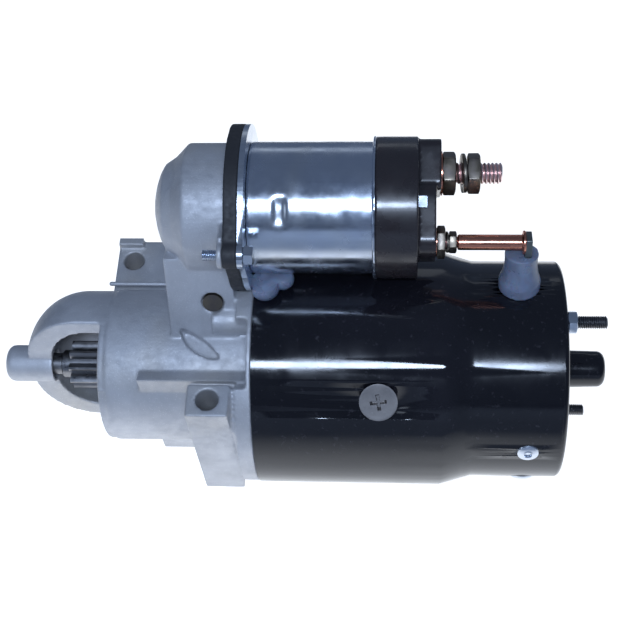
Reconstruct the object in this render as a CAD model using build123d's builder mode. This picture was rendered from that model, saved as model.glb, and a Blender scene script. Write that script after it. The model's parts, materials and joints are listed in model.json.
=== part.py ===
from build123d import *
import os
from math import acos, asin, atan2, cos, degrees, hypot, radians, sin, sqrt

os.makedirs("parts", exist_ok=True)

# ---------------------------------------------------------------------------
# Starter motor.  +X runs along the shaft from the nose to the rear bearing,
# +Z from the shaft towards the solenoid.  The origin is on the shaft axis at
# the middle of the pinion at rest.  Angles are measured in the YZ plane from
# +Y towards +Z.  Sizes in millimetres.
# ---------------------------------------------------------------------------

# ---- fits ----
RUN_GAP = 0.05      # radial clearance of a running fit
FREE_GAP = 0.3      # clearance between faces that pass each other

# ---- pinion and its travel ----
PINION_TEETH = 9
PINION_TIP_R = 12.2
PINION_ROOT_R = 7.6
PINION_WIDTH = 21.0
PINION_HUB_R = 7.0
PINION_HUB_LENGTH = 5.1
DRIVE_TRAVEL = 8.5

# ---- shaft ----
NOSE_JOURNAL_R = 5.5
SPLINE_R = 7.0
SPLINE_START = 46.0
CORE_SEAT_R = 9.0
REAR_JOURNAL_R = 5.0
STOP_R = 6.8
STOP_WIDTH = 2.0

# ---- drive-end housing ----
NOSE_LENGTH = 47.0              # from the middle of the cavity's arc to the nose tip
NOSE_R = 9.3
NOSE_ROUND = 4.0
DOME_CENTRE_R = 7.3             # radius at which the dome's arc is centred
DOME_LEAD = 4.5                 # how far the dome's arc is ahead of the cavity's
DOME_R = 30.0
CAVITY_CENTRE_R = 7.0
CAVITY_BEHIND_TEETH = 21.5      # cavity arc centre behind the pinion at full travel
CAVITY_ARC_R = 22.3
HUB_RECESS_R = 7.5
NOSE_BORE_R = 7.0
NOSE_END_WALL = 3.5
WINDOW_ANGLE = 195.0
WINDOW_OFFSET = 4.1
DRUM_FRONT = 9.8
RIM_WIDTH = 3.4
RIM_GROOVE = 0.8
DRUM_R = 38.0
FLANGE_FRONT = 79.0
FRAME_FRONT = 87.0              # joint between housing and field frame
FLANGE_STEP = 0.5               # housing flange below the frame's surface
THIN_FLANGE = 2.5               # flange thickness where the drum runs up to it
THIN_FLANGE_FROM = 121.0
THIN_FLANGE_TO = 154.5
REGISTER_LENGTH = 4.0
REGISTER_WALL = 3.5

# ---- mounting bosses, in the frame of the two bolts ----
BOLT_ANGLE = 115.0              # direction the bolt heads face
BOLT_HOLE_R = 5.4
BLOCK_FACE = 28.6               # flat face beside the flywheel
BLOCK_FRONT = 10.5
BLOCK_TOP = -25.0
MOUNT_FACE = 38.0               # distance of the mounting face from the shaft
CORNER_CUT = 6.0
FACE_RELIEF = 3.0               # depth of the face's relief before the lower stud boss
RELIEF_SIDE = 12.0
RELIEF_START = 63.0
LIP_START = 31.0
LIP_TOP = -37.0
LIP_CORNER = (20.9, -31.8)
TOWER_X = 67.0
TOWER_SIDE = 42.0
TOWER_WIDTH = 20.0
TOWER_REACH = 50.5
TOWER_TOP = -44.0
EAR_X = 15.7
EAR_SIDE = -56.4
EAR_FRONT = 7.0
EAR_REAR = 38.0
EAR_REACH = -68.8
EAR_ROOT = -30.0
EAR_TOP = -10.0
EAR_RIB = 3.0
CRESCENT_X = 60.0
CRESCENT_ANGLE = 128.0

# ---- field frame and end frame ----
FRAME_R = 58.0
FRAME_WALL = 4.5
FRAME_LENGTH = 144.0
SMALL_STEP = 4.6                # drop from the large to the small diameter
SMALL_LENGTH = 40.5
TAPER_LENGTH = 15.0
CAP_PLATE = 2.5
CAP_SPIGOT = 3.0
CAP_HUB_R = 12.0
REAR_BOSS_R = 9.3
REAR_BOSS_LENGTH = 25.6
REAR_BUSH_R = 6.5
REAR_BUSH_LENGTH = 15.5
REAR_JOURNAL_END = 18.5         # shaft end behind the frame

# ---- through studs ----
STUD_R = 3.0
STUD_CORE_R = 2.6               # thread core, inside the nuts and the housing
STUD_HOLE_GAP = 0.2
STUD_INSET = 12.5               # stud axis below the frame's surface
STUD_FRONT = 70.0
STUD_END = 21.0                 # stud end behind the frame
STUD_BOSS_R = 7.0
STUD_BOSS_FRONT = 67.0
STUD_NUT_AF = 10.0
STUD_NUT_HEIGHT = 4.5
STUD_ANGLES = (BOLT_ANGLE, BOLT_ANGLE + 180)

# ---- poles and armature ----
POLE_X = 146.0
POLE_ANGLES = [160.0 + 90 * i for i in range(4)]
POLE_LENGTH = 50.0
POLE_WIDTH = 24.0
POLE_TIP_SPAN = 64.0
POLE_TIP_DEPTH = 4.0
POLE_SCREW_HEAD_R = 9.0
POLE_SCREW_HEAD_H = 4.2
POLE_SCREW_R = 4.0
POLE_SCREW_LENGTH = 12.0
CROSS_LENGTH = 10.2
CROSS_WIDTH = 2.3
CROSS_DEPTH = 2.2
COIL_SPAN = 68.0
COIL_DEPTH = 11.0
COIL_WIDTH = 9.0
CORE_R = 33.0
CORE_LENGTH = 54.0
CORE_SLOTS = 20
SLOT_DEPTH = 9.0
SLOT_WIDTH = 3.6
AIR_GAP = 0.6
WINDING_END = 15.0
COMM_LENGTH = 27.0
COMM_INSET = 11.0
COMM_R = 22.0
COMM_BARS = 20

# ---- brush gear ----
BRUSH_INSET = 24.0
BRUSH_LENGTH = 14.0
BRUSH_WIDTH = 12.0
BRUSH_OUTER_R = 36.0
BRUSH_GAP = 0.15
BOX_INNER_R = 25.0
BOX_OUTER_R = 42.0
BOX_WALL = 1.3
BRUSH_PLATE_INSET = 10.0
BRUSH_PLATE_T = 2.5
HOLDER_ANGLES = (191.5, 230.0, 11.5, 50.0)
HOLDER_INSET = 15.0
HOLDER_HEAD_R = 5.2
HOLDER_HEAD_H = 1.5
HOLDER_SCREW_R = 2.5
HOLDER_SOCKET_R = 1.7
HOLDER_SOCKET_DEPTH = 0.8

# ---- shift lever ----
PIVOT_X = 67.6
PIVOT_Z = 52.0
PIVOT_R = 4.5
PIVOT_HEAD_R = 4.7
NECK_HALF = 21.0
NECK_FRONT = 46.0
NECK_BOTTOM = 30.0
NECK_TOP_DROP = 15.5            # neck top below the solenoid axis
NECK_WALL = 6.0
SLOT_HALF = 15.0
LEVER_HALF = 14.6
ARM_THICK = 2.8
PAD_R = 3.3
LEVER_HUB_R = 8.5
TOP_PLATE = 5.8
LINK_R = 2.5

# ---- clutch ----
CLUTCH_FRONT = 14.0
CLUTCH_R = 24.5
CLUTCH_LENGTH = 23.0
RACE_R = 10.0
ROLLER_R = 2.95
ROLLERS = 5
SLEEVE_R = 10.0
SLEEVE_REAR = 79.0
COLLAR_R = 15.0
COLLAR_HUB_R = 11.4
COLLAR_FLANGE = 2.5
SPRING_R = 12.4
SPRING_WIRE_R = 1.1
SPRING_TURNS = 5

# ---- solenoid ----
SOL_R = 30.5
SOL_FRAME_GAP = 3.0             # between solenoid case and field frame
CUP_STEP = 0.5                  # cup below the case's surface
CUP_REAR = 78.0
CUP_WALL = 4.0
GASKET_T = 6.5
PLATE_LIP = 8.2                 # flange beyond the case's surface
TONGUE_HALF = 15.0
TONGUE_DEPTH = 10.0             # below the frame's surface
SOL_SCREW_REACH = 12.0          # screw axis outside the case
SOL_EAR_R = 6.0
SOL_SCREW_R = 2.5
SOL_SCREW_FRONT = 69.0
SOL_SCREW_AF = 8.0
SOL_SCREW_HEAD = 4.5
SOL_WALL = 2.5
SOL_REAR = 144.5
CRIMP_LIP = 2.8
CRIMP_WIDTH = 1.2
BOBBIN_WALL = 1.4
BOBBIN_CHEEK = 2.0
WINDING_GAP = 1.5               # between the winding and the case
CORE_PLATE = 4.5
PLUNGER_R = 13.0
PLUNGER_FRONT = 76.0
PLUNGER_REAR = 119.0
PLUNGER_BORE_R = 7.0
PLUNGER_BORE_DEPTH = 13.0
SHANK_R = 8.0
SHANK_FRONT = 57.5
FIXED_CORE_FRONT = 126.0
RETURN_SPRING_R = 5.2
RETURN_WIRE_R = 0.7
ROD_R = 2.0
CONTACT_TRAVEL = 2.0
DISC_R = 19.5
DISC_T = 2.0

# ---- solenoid cap and terminals ----
CAP_LIP = 2.25
CAP_RING_END = 163.5
CAP_WALL = 6.75
CAP_LOW_END = 171.7
CAP_HIGH_END = 174.0
CHAMBER_END = 155.0
TERMINAL_ANGLE = 51.5
TERMINAL_CIRCLE_R = 16.0
BATTERY_R = 5.0
BATTERY_SHANK_R = 4.4            # thread core, inside the nuts
BATTERY_NUT_REAR = 192.0
BATTERY_END = 202.0
TERMINAL_HEAD_R = 7.0
MOTOR_STUD_R = 3.0
CONNECTOR_START = 181.8
CONNECTOR_R = 3.65
CONNECTOR_PLATE_R = 5.5
CONNECTOR_PLATE_T = 1.2
BOOT_INSET = 19.5
BOOT_NECK_R = 8.0
BOOT_BASE_R = 9.9
BOOT_PLUG_R = 6.0

# ---- values that follow ----
PINION_FRONT = -PINION_WIDTH / 2
PINION_REAR = PINION_WIDTH / 2
HUB_FRONT = PINION_FRONT - PINION_HUB_LENGTH
STOP_GAP = 0.2
STOP_REAR = HUB_FRONT - DRIVE_TRAVEL - STOP_GAP
HUB_RECESS_END = STOP_REAR - STOP_WIDTH - STOP_GAP
CAVITY_CENTRE = (PINION_FRONT - DRIVE_TRAVEL + CAVITY_BEHIND_TEETH, CAVITY_CENTRE_R)
DOME_CENTRE = (CAVITY_CENTRE[0] - DOME_LEAD, DOME_CENTRE_R)
NOSE_TIP = CAVITY_CENTRE[0] - NOSE_LENGTH
NOSE_BORE_END = NOSE_TIP + NOSE_END_WALL
SHAFT_FRONT = NOSE_BORE_END + 1.0
FRAME_REAR = FRAME_FRONT + FRAME_LENGTH
TAPER_END = FRAME_REAR - SMALL_LENGTH
TAPER_START = TAPER_END - TAPER_LENGTH
SMALL_R = FRAME_R - SMALL_STEP
FLANGE_R = FRAME_R - FLANGE_STEP
FRAME_BORE_R = FRAME_R - FRAME_WALL
SMALL_BORE_R = SMALL_R - FRAME_WALL
STUD_CIRCLE_R = FRAME_R - STUD_INSET
STUD_REAR = FRAME_REAR + STUD_END
SHAFT_REAR = FRAME_REAR + REAR_JOURNAL_END
REAR_BOSS_END = FRAME_REAR + REAR_BOSS_LENGTH
END_FACE = FRAME_REAR + CAP_PLATE
COMM_REAR = FRAME_REAR - COMM_INSET
COMM_FRONT = COMM_REAR - COMM_LENGTH
BRUSH_X = FRAME_REAR - BRUSH_INSET
BRUSH_PLATE_X = FRAME_REAR - BRUSH_PLATE_INSET
HOLDER_X = FRAME_REAR - HOLDER_INSET
BOOT_X = FRAME_REAR - BOOT_INSET
CONNECTOR_END = BOOT_X
SOL_Z = FRAME_R + SOL_FRAME_GAP + SOL_R
NECK_TOP = SOL_Z - NECK_TOP_DROP
CUP_R = SOL_R - CUP_STEP
PLATE_R = SOL_R + PLATE_LIP
CRIMP_R = SOL_R + CRIMP_LIP
CAP_R = SOL_R + CAP_LIP
CAP_CHAMBER_R = CAP_R - CAP_WALL
SOL_SCREW_Y = SOL_R + SOL_SCREW_REACH
WINDING_R = SOL_R - SOL_WALL - WINDING_GAP
TONGUE_BOTTOM = FRAME_R - TONGUE_DEPTH
PLATE_FRONT = CUP_REAR + GASKET_T
CLUTCH_REAR = CLUTCH_FRONT + CLUTCH_LENGTH
SOL_BORE_R = PLUNGER_R + RUN_GAP
HOUSING_DRUM_BORE_R = CAVITY_CENTRE[1] + CAVITY_ARC_R

# the lever swings evenly to both sides of its middle position
LEVER_DROP = PIVOT_Z
LEVER_RISE = SOL_Z - PIVOT_Z
LEVER_TILT = degrees(asin(DRIVE_TRAVEL / 2 / LEVER_DROP))
PAD_REACH = hypot(DRIVE_TRAVEL / 2, LEVER_DROP)
PLUNGER_TRAVEL = 2 * LEVER_RISE * sin(radians(LEVER_TILT))
LINK_REACH = hypot(PLUNGER_TRAVEL / 2, LEVER_RISE)
PAD_X = PIVOT_X + DRIVE_TRAVEL / 2
LINK_X = PIVOT_X - PLUNGER_TRAVEL / 2
GROOVE_HALF = PAD_R + FREE_GAP


def square_to_shaft(x):
    """Plane across the shaft at x; its axes are +Y and +Z."""
    return Plane.YZ.offset(x)


def across_solenoid(x):
    """Plane across the solenoid axis at x."""
    return Plane(origin=(x, 0, SOL_Z), x_dir=(0, 1, 0), z_dir=(1, 0, 0))


def along_solenoid():
    """Lengthwise plane through the solenoid axis: X and radius."""
    return Plane(origin=(0, 0, SOL_Z), x_dir=(1, 0, 0), z_dir=(0, -1, 0))


def radial(x, angle, height):
    """Plane at x facing outwards at an angle, at a height from the shaft axis."""
    out = (0, cos(radians(angle)), sin(radians(angle)))
    return Plane(origin=(x, out[1] * height, out[2] * height), x_dir=(1, 0, 0), z_dir=out)


def bolt_frame(x):
    """Plane across the shaft whose first axis points to the flywheel and whose
    second axis points from the bolt heads to the mounting face."""
    side = radians(BOLT_ANGLE + 90)
    return Plane(origin=(x, 0, 0), x_dir=(0, cos(side), sin(side)), z_dir=(1, 0, 0))


def bolt_seat(x, side, height):
    """Plane square to the mounting bolts, facing the bolt heads."""
    point = bolt_frame(x).from_local_coords((side, height, 0))
    head = radians(BOLT_ANGLE)
    return Plane(origin=point, x_dir=(1, 0, 0), z_dir=(0, cos(head), sin(head)))


def on_circle(radius, angle, centre_z=0.0):
    """Y and Z of a point on a circle about the shaft or the solenoid."""
    turn = radians(angle)
    return radius * cos(turn), centre_z + radius * sin(turn)


def terminal_plane(x, angle):
    """Plane across a terminal stud of the solenoid cap."""
    y, z = on_circle(TERMINAL_CIRCLE_R, angle, SOL_Z)
    return Plane(origin=(x, y, z), x_dir=(0, 1, 0), z_dir=(1, 0, 0))


def arc_middle(centre, radius, start, end):
    """Point halfway along an arc given by its two angles."""
    turn = radians((start + end) / 2)
    return centre[0] + radius * cos(turn), centre[1] + radius * sin(turn)


def ring_sector(inner, outer, middle, span):
    """Face of a piece of a ring about the shaft, to add to a sketch across it."""
    low, high = middle - span / 2, middle + span / 2
    with BuildSketch() as sector:
        with BuildLine():
            ThreePointArc(on_circle(outer, low), on_circle(outer, middle), on_circle(outer, high))
            Line(on_circle(outer, high), on_circle(inner, high))
            ThreePointArc(on_circle(inner, high), on_circle(inner, middle), on_circle(inner, low))
            Line(on_circle(inner, low), on_circle(outer, low))
        make_face()
    return sector.sketch


def save(part, label):
    """Label a finished piece and write its file."""
    part.part.label = label
    export_step(part.part, f"parts/{label}.step")


MOTOR_ANGLE = TERMINAL_ANGLE + 180
MOTOR_STUD_Y, MOTOR_STUD_Z = on_circle(TERMINAL_CIRCLE_R, MOTOR_ANGLE, SOL_Z)
BOOT_ANGLE = degrees(atan2(MOTOR_STUD_Z, MOTOR_STUD_Y))
CONNECTOR_HEIGHT = hypot(MOTOR_STUD_Y, MOTOR_STUD_Z)
BOOT_TOP = CONNECTOR_HEIGHT - CONNECTOR_PLATE_R - FREE_GAP
SHAFT_AXIS = Axis.X
SOL_AXIS = Axis((0, 0, SOL_Z), (1, 0, 0))
STUD_POINTS = [on_circle(STUD_CIRCLE_R, a) for a in STUD_ANGLES]

# ===========================================================================
# Drive-end housing
# ===========================================================================
BOSS_MEETS_DOME = DOME_CENTRE[0] - sqrt(DOME_R**2 - (NOSE_R - DOME_CENTRE[1]) ** 2)
DOME_START = 180 - degrees(asin((NOSE_R - DOME_CENTRE[1]) / DOME_R))
DOME_TOP_R = DOME_CENTRE[1] + DOME_R
CAVITY_LIP_HEIGHT = HUB_RECESS_R - CAVITY_CENTRE_R
CAVITY_LIP_X = CAVITY_CENTRE[0] - sqrt(CAVITY_ARC_R**2 - CAVITY_LIP_HEIGHT**2)
CAVITY_START = 180 - degrees(asin(CAVITY_LIP_HEIGHT / CAVITY_ARC_R))
THIN_FLANGE_X = FRAME_FRONT - THIN_FLANGE
GROOVE_X = DRUM_FRONT + RIM_WIDTH
CUP_PROFILE = [(42, 0), (42.2, 8), (43.5, 13), (45, 17), (47, 20.5), (52, 23.8), (58, CUP_R)]

with BuildPart() as drive_housing:
    # nose, dome, drum and flange turned about the shaft
    with BuildSketch(Plane.XZ):
        with BuildLine():
            Polyline((NOSE_TIP, 0), (NOSE_TIP, NOSE_R - NOSE_ROUND))
            RadiusArc((NOSE_TIP, NOSE_R - NOSE_ROUND), (NOSE_TIP + NOSE_ROUND, NOSE_R), NOSE_ROUND)
            Line((NOSE_TIP + NOSE_ROUND, NOSE_R), (BOSS_MEETS_DOME, NOSE_R))
            ThreePointArc(
                (BOSS_MEETS_DOME, NOSE_R),
                arc_middle(DOME_CENTRE, DOME_R, DOME_START, 90),
                (DOME_CENTRE[0], DOME_TOP_R),
            )
            Polyline(
                (DOME_CENTRE[0], DOME_TOP_R),
                (GROOVE_X, DOME_TOP_R),
                (GROOVE_X, DOME_TOP_R - RIM_GROOVE),
                (GROOVE_X + RIM_GROOVE, DOME_TOP_R - RIM_GROOVE),
                (GROOVE_X + RIM_GROOVE, DRUM_R),
                (FLANGE_FRONT, DRUM_R),
                (FLANGE_FRONT, FLANGE_R),
                (FRAME_FRONT, FLANGE_R),
                (FRAME_FRONT, FRAME_BORE_R),
                (FRAME_FRONT + REGISTER_LENGTH, FRAME_BORE_R),
                (FRAME_FRONT + REGISTER_LENGTH, 0),
                (NOSE_TIP, 0),
            )
        make_face()
    revolve(axis=SHAFT_AXIS)
    # the flange is thin between the stud boss and the block, where the drum reaches it
    with BuildSketch(square_to_shaft(FLANGE_FRONT)):
        middle = (THIN_FLANGE_FROM + THIN_FLANGE_TO) / 2
        add(ring_sector(DRUM_R, FRAME_R + 1, middle, THIN_FLANGE_TO - THIN_FLANGE_FROM))
    extrude(amount=THIN_FLANGE_X - FLANGE_FRONT, mode=Mode.SUBTRACT)

    # mounting block with its flat face, its lip and its lower corner
    with BuildSketch(bolt_frame(BLOCK_FRONT)):
        with BuildLine():
            Polyline(
                (EAR_ROOT, 0),
                (0, BLOCK_TOP),
                (BLOCK_FACE, BLOCK_TOP),
                (BLOCK_FACE, MOUNT_FACE),
                (EAR_ROOT, MOUNT_FACE),
                close=True,
            )
        make_face()
    extrude(amount=FRAME_FRONT - BLOCK_FRONT)
    with BuildSketch(bolt_frame(LIP_START)):
        with BuildLine():
            Polyline(
                (0, BLOCK_TOP),
                (0, -DRUM_R + 2),
                LIP_CORNER,
                (BLOCK_FACE, LIP_TOP),
                (BLOCK_FACE, BLOCK_TOP),
                close=True,
            )
        make_face()
    extrude(amount=FRAME_FRONT - LIP_START)
    # tower of the inner bolt
    with BuildSketch(bolt_frame(TOWER_X - TOWER_WIDTH / 2)):
        with BuildLine():
            Polyline(
                (BLOCK_FACE - 1, LIP_TOP + 3),
                (34, LIP_TOP + 3),
                (34, TOWER_TOP),
                (TOWER_REACH, TOWER_TOP),
                (TOWER_REACH, MOUNT_FACE),
                (BLOCK_FACE - 1, MOUNT_FACE),
                close=True,
            )
        make_face()
    extrude(amount=TOWER_WIDTH)
    # ear of the outer bolt with the rib along its outer edge
    with BuildSketch(bolt_frame(EAR_FRONT)):
        with BuildLine():
            Polyline(
                (EAR_ROOT, EAR_TOP),
                (EAR_REACH, EAR_TOP),
                (EAR_REACH, MOUNT_FACE),
                (EAR_ROOT, MOUNT_FACE),
                close=True,
            )
        make_face()
    extrude(amount=EAR_REAR - EAR_FRONT)
    with BuildSketch(bolt_frame(EAR_FRONT)):
        with BuildLine():
            Polyline(
                (EAR_REACH, EAR_TOP + 1),
                (EAR_REACH, EAR_TOP - EAR_RIB),
                (EAR_REACH + 4, EAR_TOP - EAR_RIB),
                (EAR_REACH + 5, EAR_TOP + 1),
                close=True,
            )
        make_face()
    extrude(amount=13)
    # web that ties the ear to the drum behind the bolt
    with BuildSketch(bolt_frame(EAR_REAR)):
        with BuildLine():
            Polyline(
                (EAR_ROOT, 0),
                (EAR_ROOT - 16, 4),
                (EAR_ROOT - 8, MOUNT_FACE),
                (EAR_ROOT, MOUNT_FACE),
                close=True,
            )
        make_face()
    extrude(amount=FLANGE_FRONT - EAR_REAR)
    # neck around the shift lever
    with BuildSketch(square_to_shaft(NECK_FRONT)):
        with Locations((0, (NECK_BOTTOM + NECK_TOP) / 2)):
            Rectangle(2 * NECK_HALF, NECK_TOP - NECK_BOTTOM)
    extrude(amount=CUP_REAR - NECK_FRONT)
    # solenoid cup with the two screw ears
    with BuildSketch(along_solenoid()):
        with BuildLine():
            Polyline(*CUP_PROFILE, (CUP_REAR, CUP_R), (CUP_REAR, 0), close=True)
        make_face()
    revolve(axis=SOL_AXIS)
    with BuildSketch(across_solenoid(CUP_REAR - 2.6)):
        SlotCenterToCenter(2 * SOL_SCREW_Y, 2 * SOL_EAR_R)
        with Locations((-SOL_SCREW_Y + 12, 0), (SOL_SCREW_Y - 12, 0)):
            Rectangle(22, 2 * SOL_EAR_R + 4)
    extrude(amount=2.6)
    # front bosses of the through studs
    with BuildSketch(square_to_shaft(STUD_BOSS_FRONT)):
        with Locations(*STUD_POINTS):
            Circle(STUD_BOSS_R)
    extrude(amount=THIN_FLANGE_X - STUD_BOSS_FRONT)

    # flywheel window: one flat cut through the dome that leaves the nose boss whole
    with BuildSketch(Plane(
        origin=(BOSS_MEETS_DOME, *on_circle(WINDOW_OFFSET, WINDOW_ANGLE)),
        x_dir=(1, 0, 0),
        z_dir=(0, cos(radians(WINDOW_ANGLE)), sin(radians(WINDOW_ANGLE))),
    )):
        Rectangle(DRUM_FRONT - BOSS_MEETS_DOME, 4 * DRUM_R, align=(Align.MIN, Align.CENTER))
    extrude(amount=DRUM_R, mode=Mode.SUBTRACT)
    with BuildSketch(square_to_shaft(BOSS_MEETS_DOME)):
        Circle(NOSE_R)
    extrude(amount=CAVITY_LIP_X - BOSS_MEETS_DOME)

    # inside: bearing bore, hub recess, clutch chamber, frame register
    with BuildSketch(Plane.XZ):
        with BuildLine():
            Polyline(
                (NOSE_BORE_END, 0),
                (NOSE_BORE_END, NOSE_BORE_R),
                (HUB_RECESS_END, NOSE_BORE_R),
                (HUB_RECESS_END, HUB_RECESS_R),
                (CAVITY_LIP_X, HUB_RECESS_R),
            )
            ThreePointArc(
                (CAVITY_LIP_X, HUB_RECESS_R),
                arc_middle(CAVITY_CENTRE, CAVITY_ARC_R, CAVITY_START, 90),
                (CAVITY_CENTRE[0], HOUSING_DRUM_BORE_R),
            )
            Polyline(
                (CAVITY_CENTRE[0], HOUSING_DRUM_BORE_R),
                (FRAME_FRONT, HOUSING_DRUM_BORE_R),
                (FRAME_FRONT, FRAME_BORE_R - REGISTER_WALL),
                (FRAME_FRONT + REGISTER_LENGTH, FRAME_BORE_R - REGISTER_WALL),
                (FRAME_FRONT + REGISTER_LENGTH, 0),
                (NOSE_BORE_END, 0),
            )
        make_face()
    revolve(axis=SHAFT_AXIS, mode=Mode.SUBTRACT)
    # lever slot up into the solenoid cup, open at the rear under the solenoid
    with BuildSketch(square_to_shaft(NECK_FRONT + NECK_WALL)):
        with Locations((0, SOL_Z / 2)):
            Rectangle(2 * SLOT_HALF, SOL_Z)
    extrude(amount=CUP_REAR - NECK_FRONT - NECK_WALL, mode=Mode.SUBTRACT)
    with BuildSketch(square_to_shaft(CUP_REAR)):
        with Locations((0, (TONGUE_BOTTOM + SOL_Z) / 2)):
            Rectangle(2 * TONGUE_HALF, SOL_Z - TONGUE_BOTTOM)
    extrude(amount=FRAME_FRONT + REGISTER_LENGTH - CUP_REAR, mode=Mode.SUBTRACT)
    with BuildSketch(along_solenoid()):
        with BuildLine():
            Polyline(
                (48, 0), (48, 14), (50, 18), (54, 21), (60, CUP_R - CUP_WALL), (CUP_REAR, CUP_R - CUP_WALL),
                (CUP_REAR, 0), close=True,
            )
        make_face()
    revolve(axis=SOL_AXIS, mode=Mode.SUBTRACT)
    # lower front corner of the block
    with BuildSketch(bolt_frame(BLOCK_FRONT)):
        with BuildLine():
            Polyline(
                (BLOCK_FACE - CORNER_CUT, MOUNT_FACE), (BLOCK_FACE, MOUNT_FACE - 2 * CORNER_CUT),
                (BLOCK_FACE + 1, MOUNT_FACE + 1), close=True,
            )
        make_face()
    extrude(amount=TOWER_X - TOWER_WIDTH / 2 - BLOCK_FRONT - 24, mode=Mode.SUBTRACT)
    # relief of the mounting face in front of the lower stud boss
    with BuildSketch(bolt_frame(RELIEF_START)):
        with Locations((0, MOUNT_FACE - FACE_RELIEF)):
            Rectangle(2 * RELIEF_SIDE, FACE_RELIEF, align=(Align.CENTER, Align.MIN))
    extrude(amount=STUD_BOSS_FRONT - RELIEF_START, mode=Mode.SUBTRACT)
    for side in (-RELIEF_SIDE, STUD_BOSS_R):
        with BuildSketch(bolt_frame(STUD_BOSS_FRONT)):
            with Locations((side, MOUNT_FACE - FACE_RELIEF)):
                Rectangle(RELIEF_SIDE - STUD_BOSS_R, FACE_RELIEF, align=(Align.MIN, Align.MIN))
        extrude(amount=FLANGE_FRONT - STUD_BOSS_FRONT, mode=Mode.SUBTRACT)
    # crescent recess between the drum and the stud boss
    with BuildSketch(radial(CRESCENT_X, CRESCENT_ANGLE, DRUM_R + 6)):
        with BuildLine():
            ThreePointArc((-10, 7), (0, 3), (10, -7))
            ThreePointArc((10, -7), (-4, -3), (-10, 7))
        make_face()
    extrude(amount=-9, mode=Mode.SUBTRACT)
    # bolt holes
    with Locations(bolt_seat(TOWER_X, TOWER_SIDE, TOWER_TOP), bolt_seat(EAR_X, EAR_SIDE, EAR_TOP)):
        Hole(BOLT_HOLE_R)
    # core hole in the rear of the ear
    with BuildSketch(bolt_frame(EAR_REAR)):
        with Locations(((EAR_REACH + EAR_ROOT) / 2 - 3, 14)):
            RectangleRounded(16, 26, 3)
    extrude(amount=-12, mode=Mode.SUBTRACT)
    # stud holes, solenoid screw holes, pivot bore with its sunk head seat
    with BuildSketch(square_to_shaft(STUD_FRONT)):
        with Locations(*STUD_POINTS):
            Circle(STUD_CORE_R)
    extrude(amount=FRAME_FRONT + REGISTER_LENGTH - STUD_FRONT, mode=Mode.SUBTRACT)
    with BuildSketch(across_solenoid(CUP_REAR)):
        with Locations((-SOL_SCREW_Y, 0), (SOL_SCREW_Y, 0)):
            Circle(SOL_SCREW_R)
    extrude(amount=-4, mode=Mode.SUBTRACT)
    with BuildSketch(Plane.XZ.offset(NECK_HALF)):
        with Locations((PIVOT_X, PIVOT_Z)):
            Circle(PIVOT_R)
    extrude(amount=-2 * NECK_HALF, mode=Mode.SUBTRACT)
    with BuildSketch(Plane.XZ.offset(NECK_HALF - 2)):
        with Locations((PIVOT_X, PIVOT_Z)):
            Circle(PIVOT_HEAD_R + 0.7)
    extrude(amount=8, mode=Mode.SUBTRACT)
save(drive_housing, "drive_housing")

# ===========================================================================
# Field frame, end frame and what holds them together
# ===========================================================================
with BuildPart() as field_frame:
    with BuildSketch(Plane.XZ):
        with BuildLine():
            Polyline(
                (FRAME_FRONT, FRAME_R), (TAPER_START, FRAME_R), (TAPER_END, SMALL_R), (FRAME_REAR, SMALL_R),
                (FRAME_REAR, SMALL_BORE_R), (TAPER_END, SMALL_BORE_R), (TAPER_START, FRAME_BORE_R),
                (FRAME_FRONT, FRAME_BORE_R), close=True,
            )
        make_face()
    revolve(axis=SHAFT_AXIS)
    # countersunk holes of the pole screws
    for angle in POLE_ANGLES:
        with Locations(radial(POLE_X, angle, FRAME_R - POLE_SCREW_HEAD_H)):
            Cone(POLE_SCREW_R, 2 * POLE_SCREW_HEAD_R - POLE_SCREW_R, 2 * POLE_SCREW_HEAD_H,
                 align=(Align.CENTER, Align.CENTER, Align.MIN), mode=Mode.SUBTRACT)
            Cylinder(POLE_SCREW_R, 2 * FRAME_WALL, mode=Mode.SUBTRACT)
    # holes of the brush-holder screws and of the terminal boot
    for angle in HOLDER_ANGLES:
        with Locations(radial(HOLDER_X, angle, SMALL_R)):
            Cylinder(HOLDER_SCREW_R, 3 * FRAME_WALL, mode=Mode.SUBTRACT)
    with Locations(radial(BOOT_X, BOOT_ANGLE, SMALL_R)):
        Cylinder(BOOT_PLUG_R, 3 * FRAME_WALL, mode=Mode.SUBTRACT)
save(field_frame, "field_frame")

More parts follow.
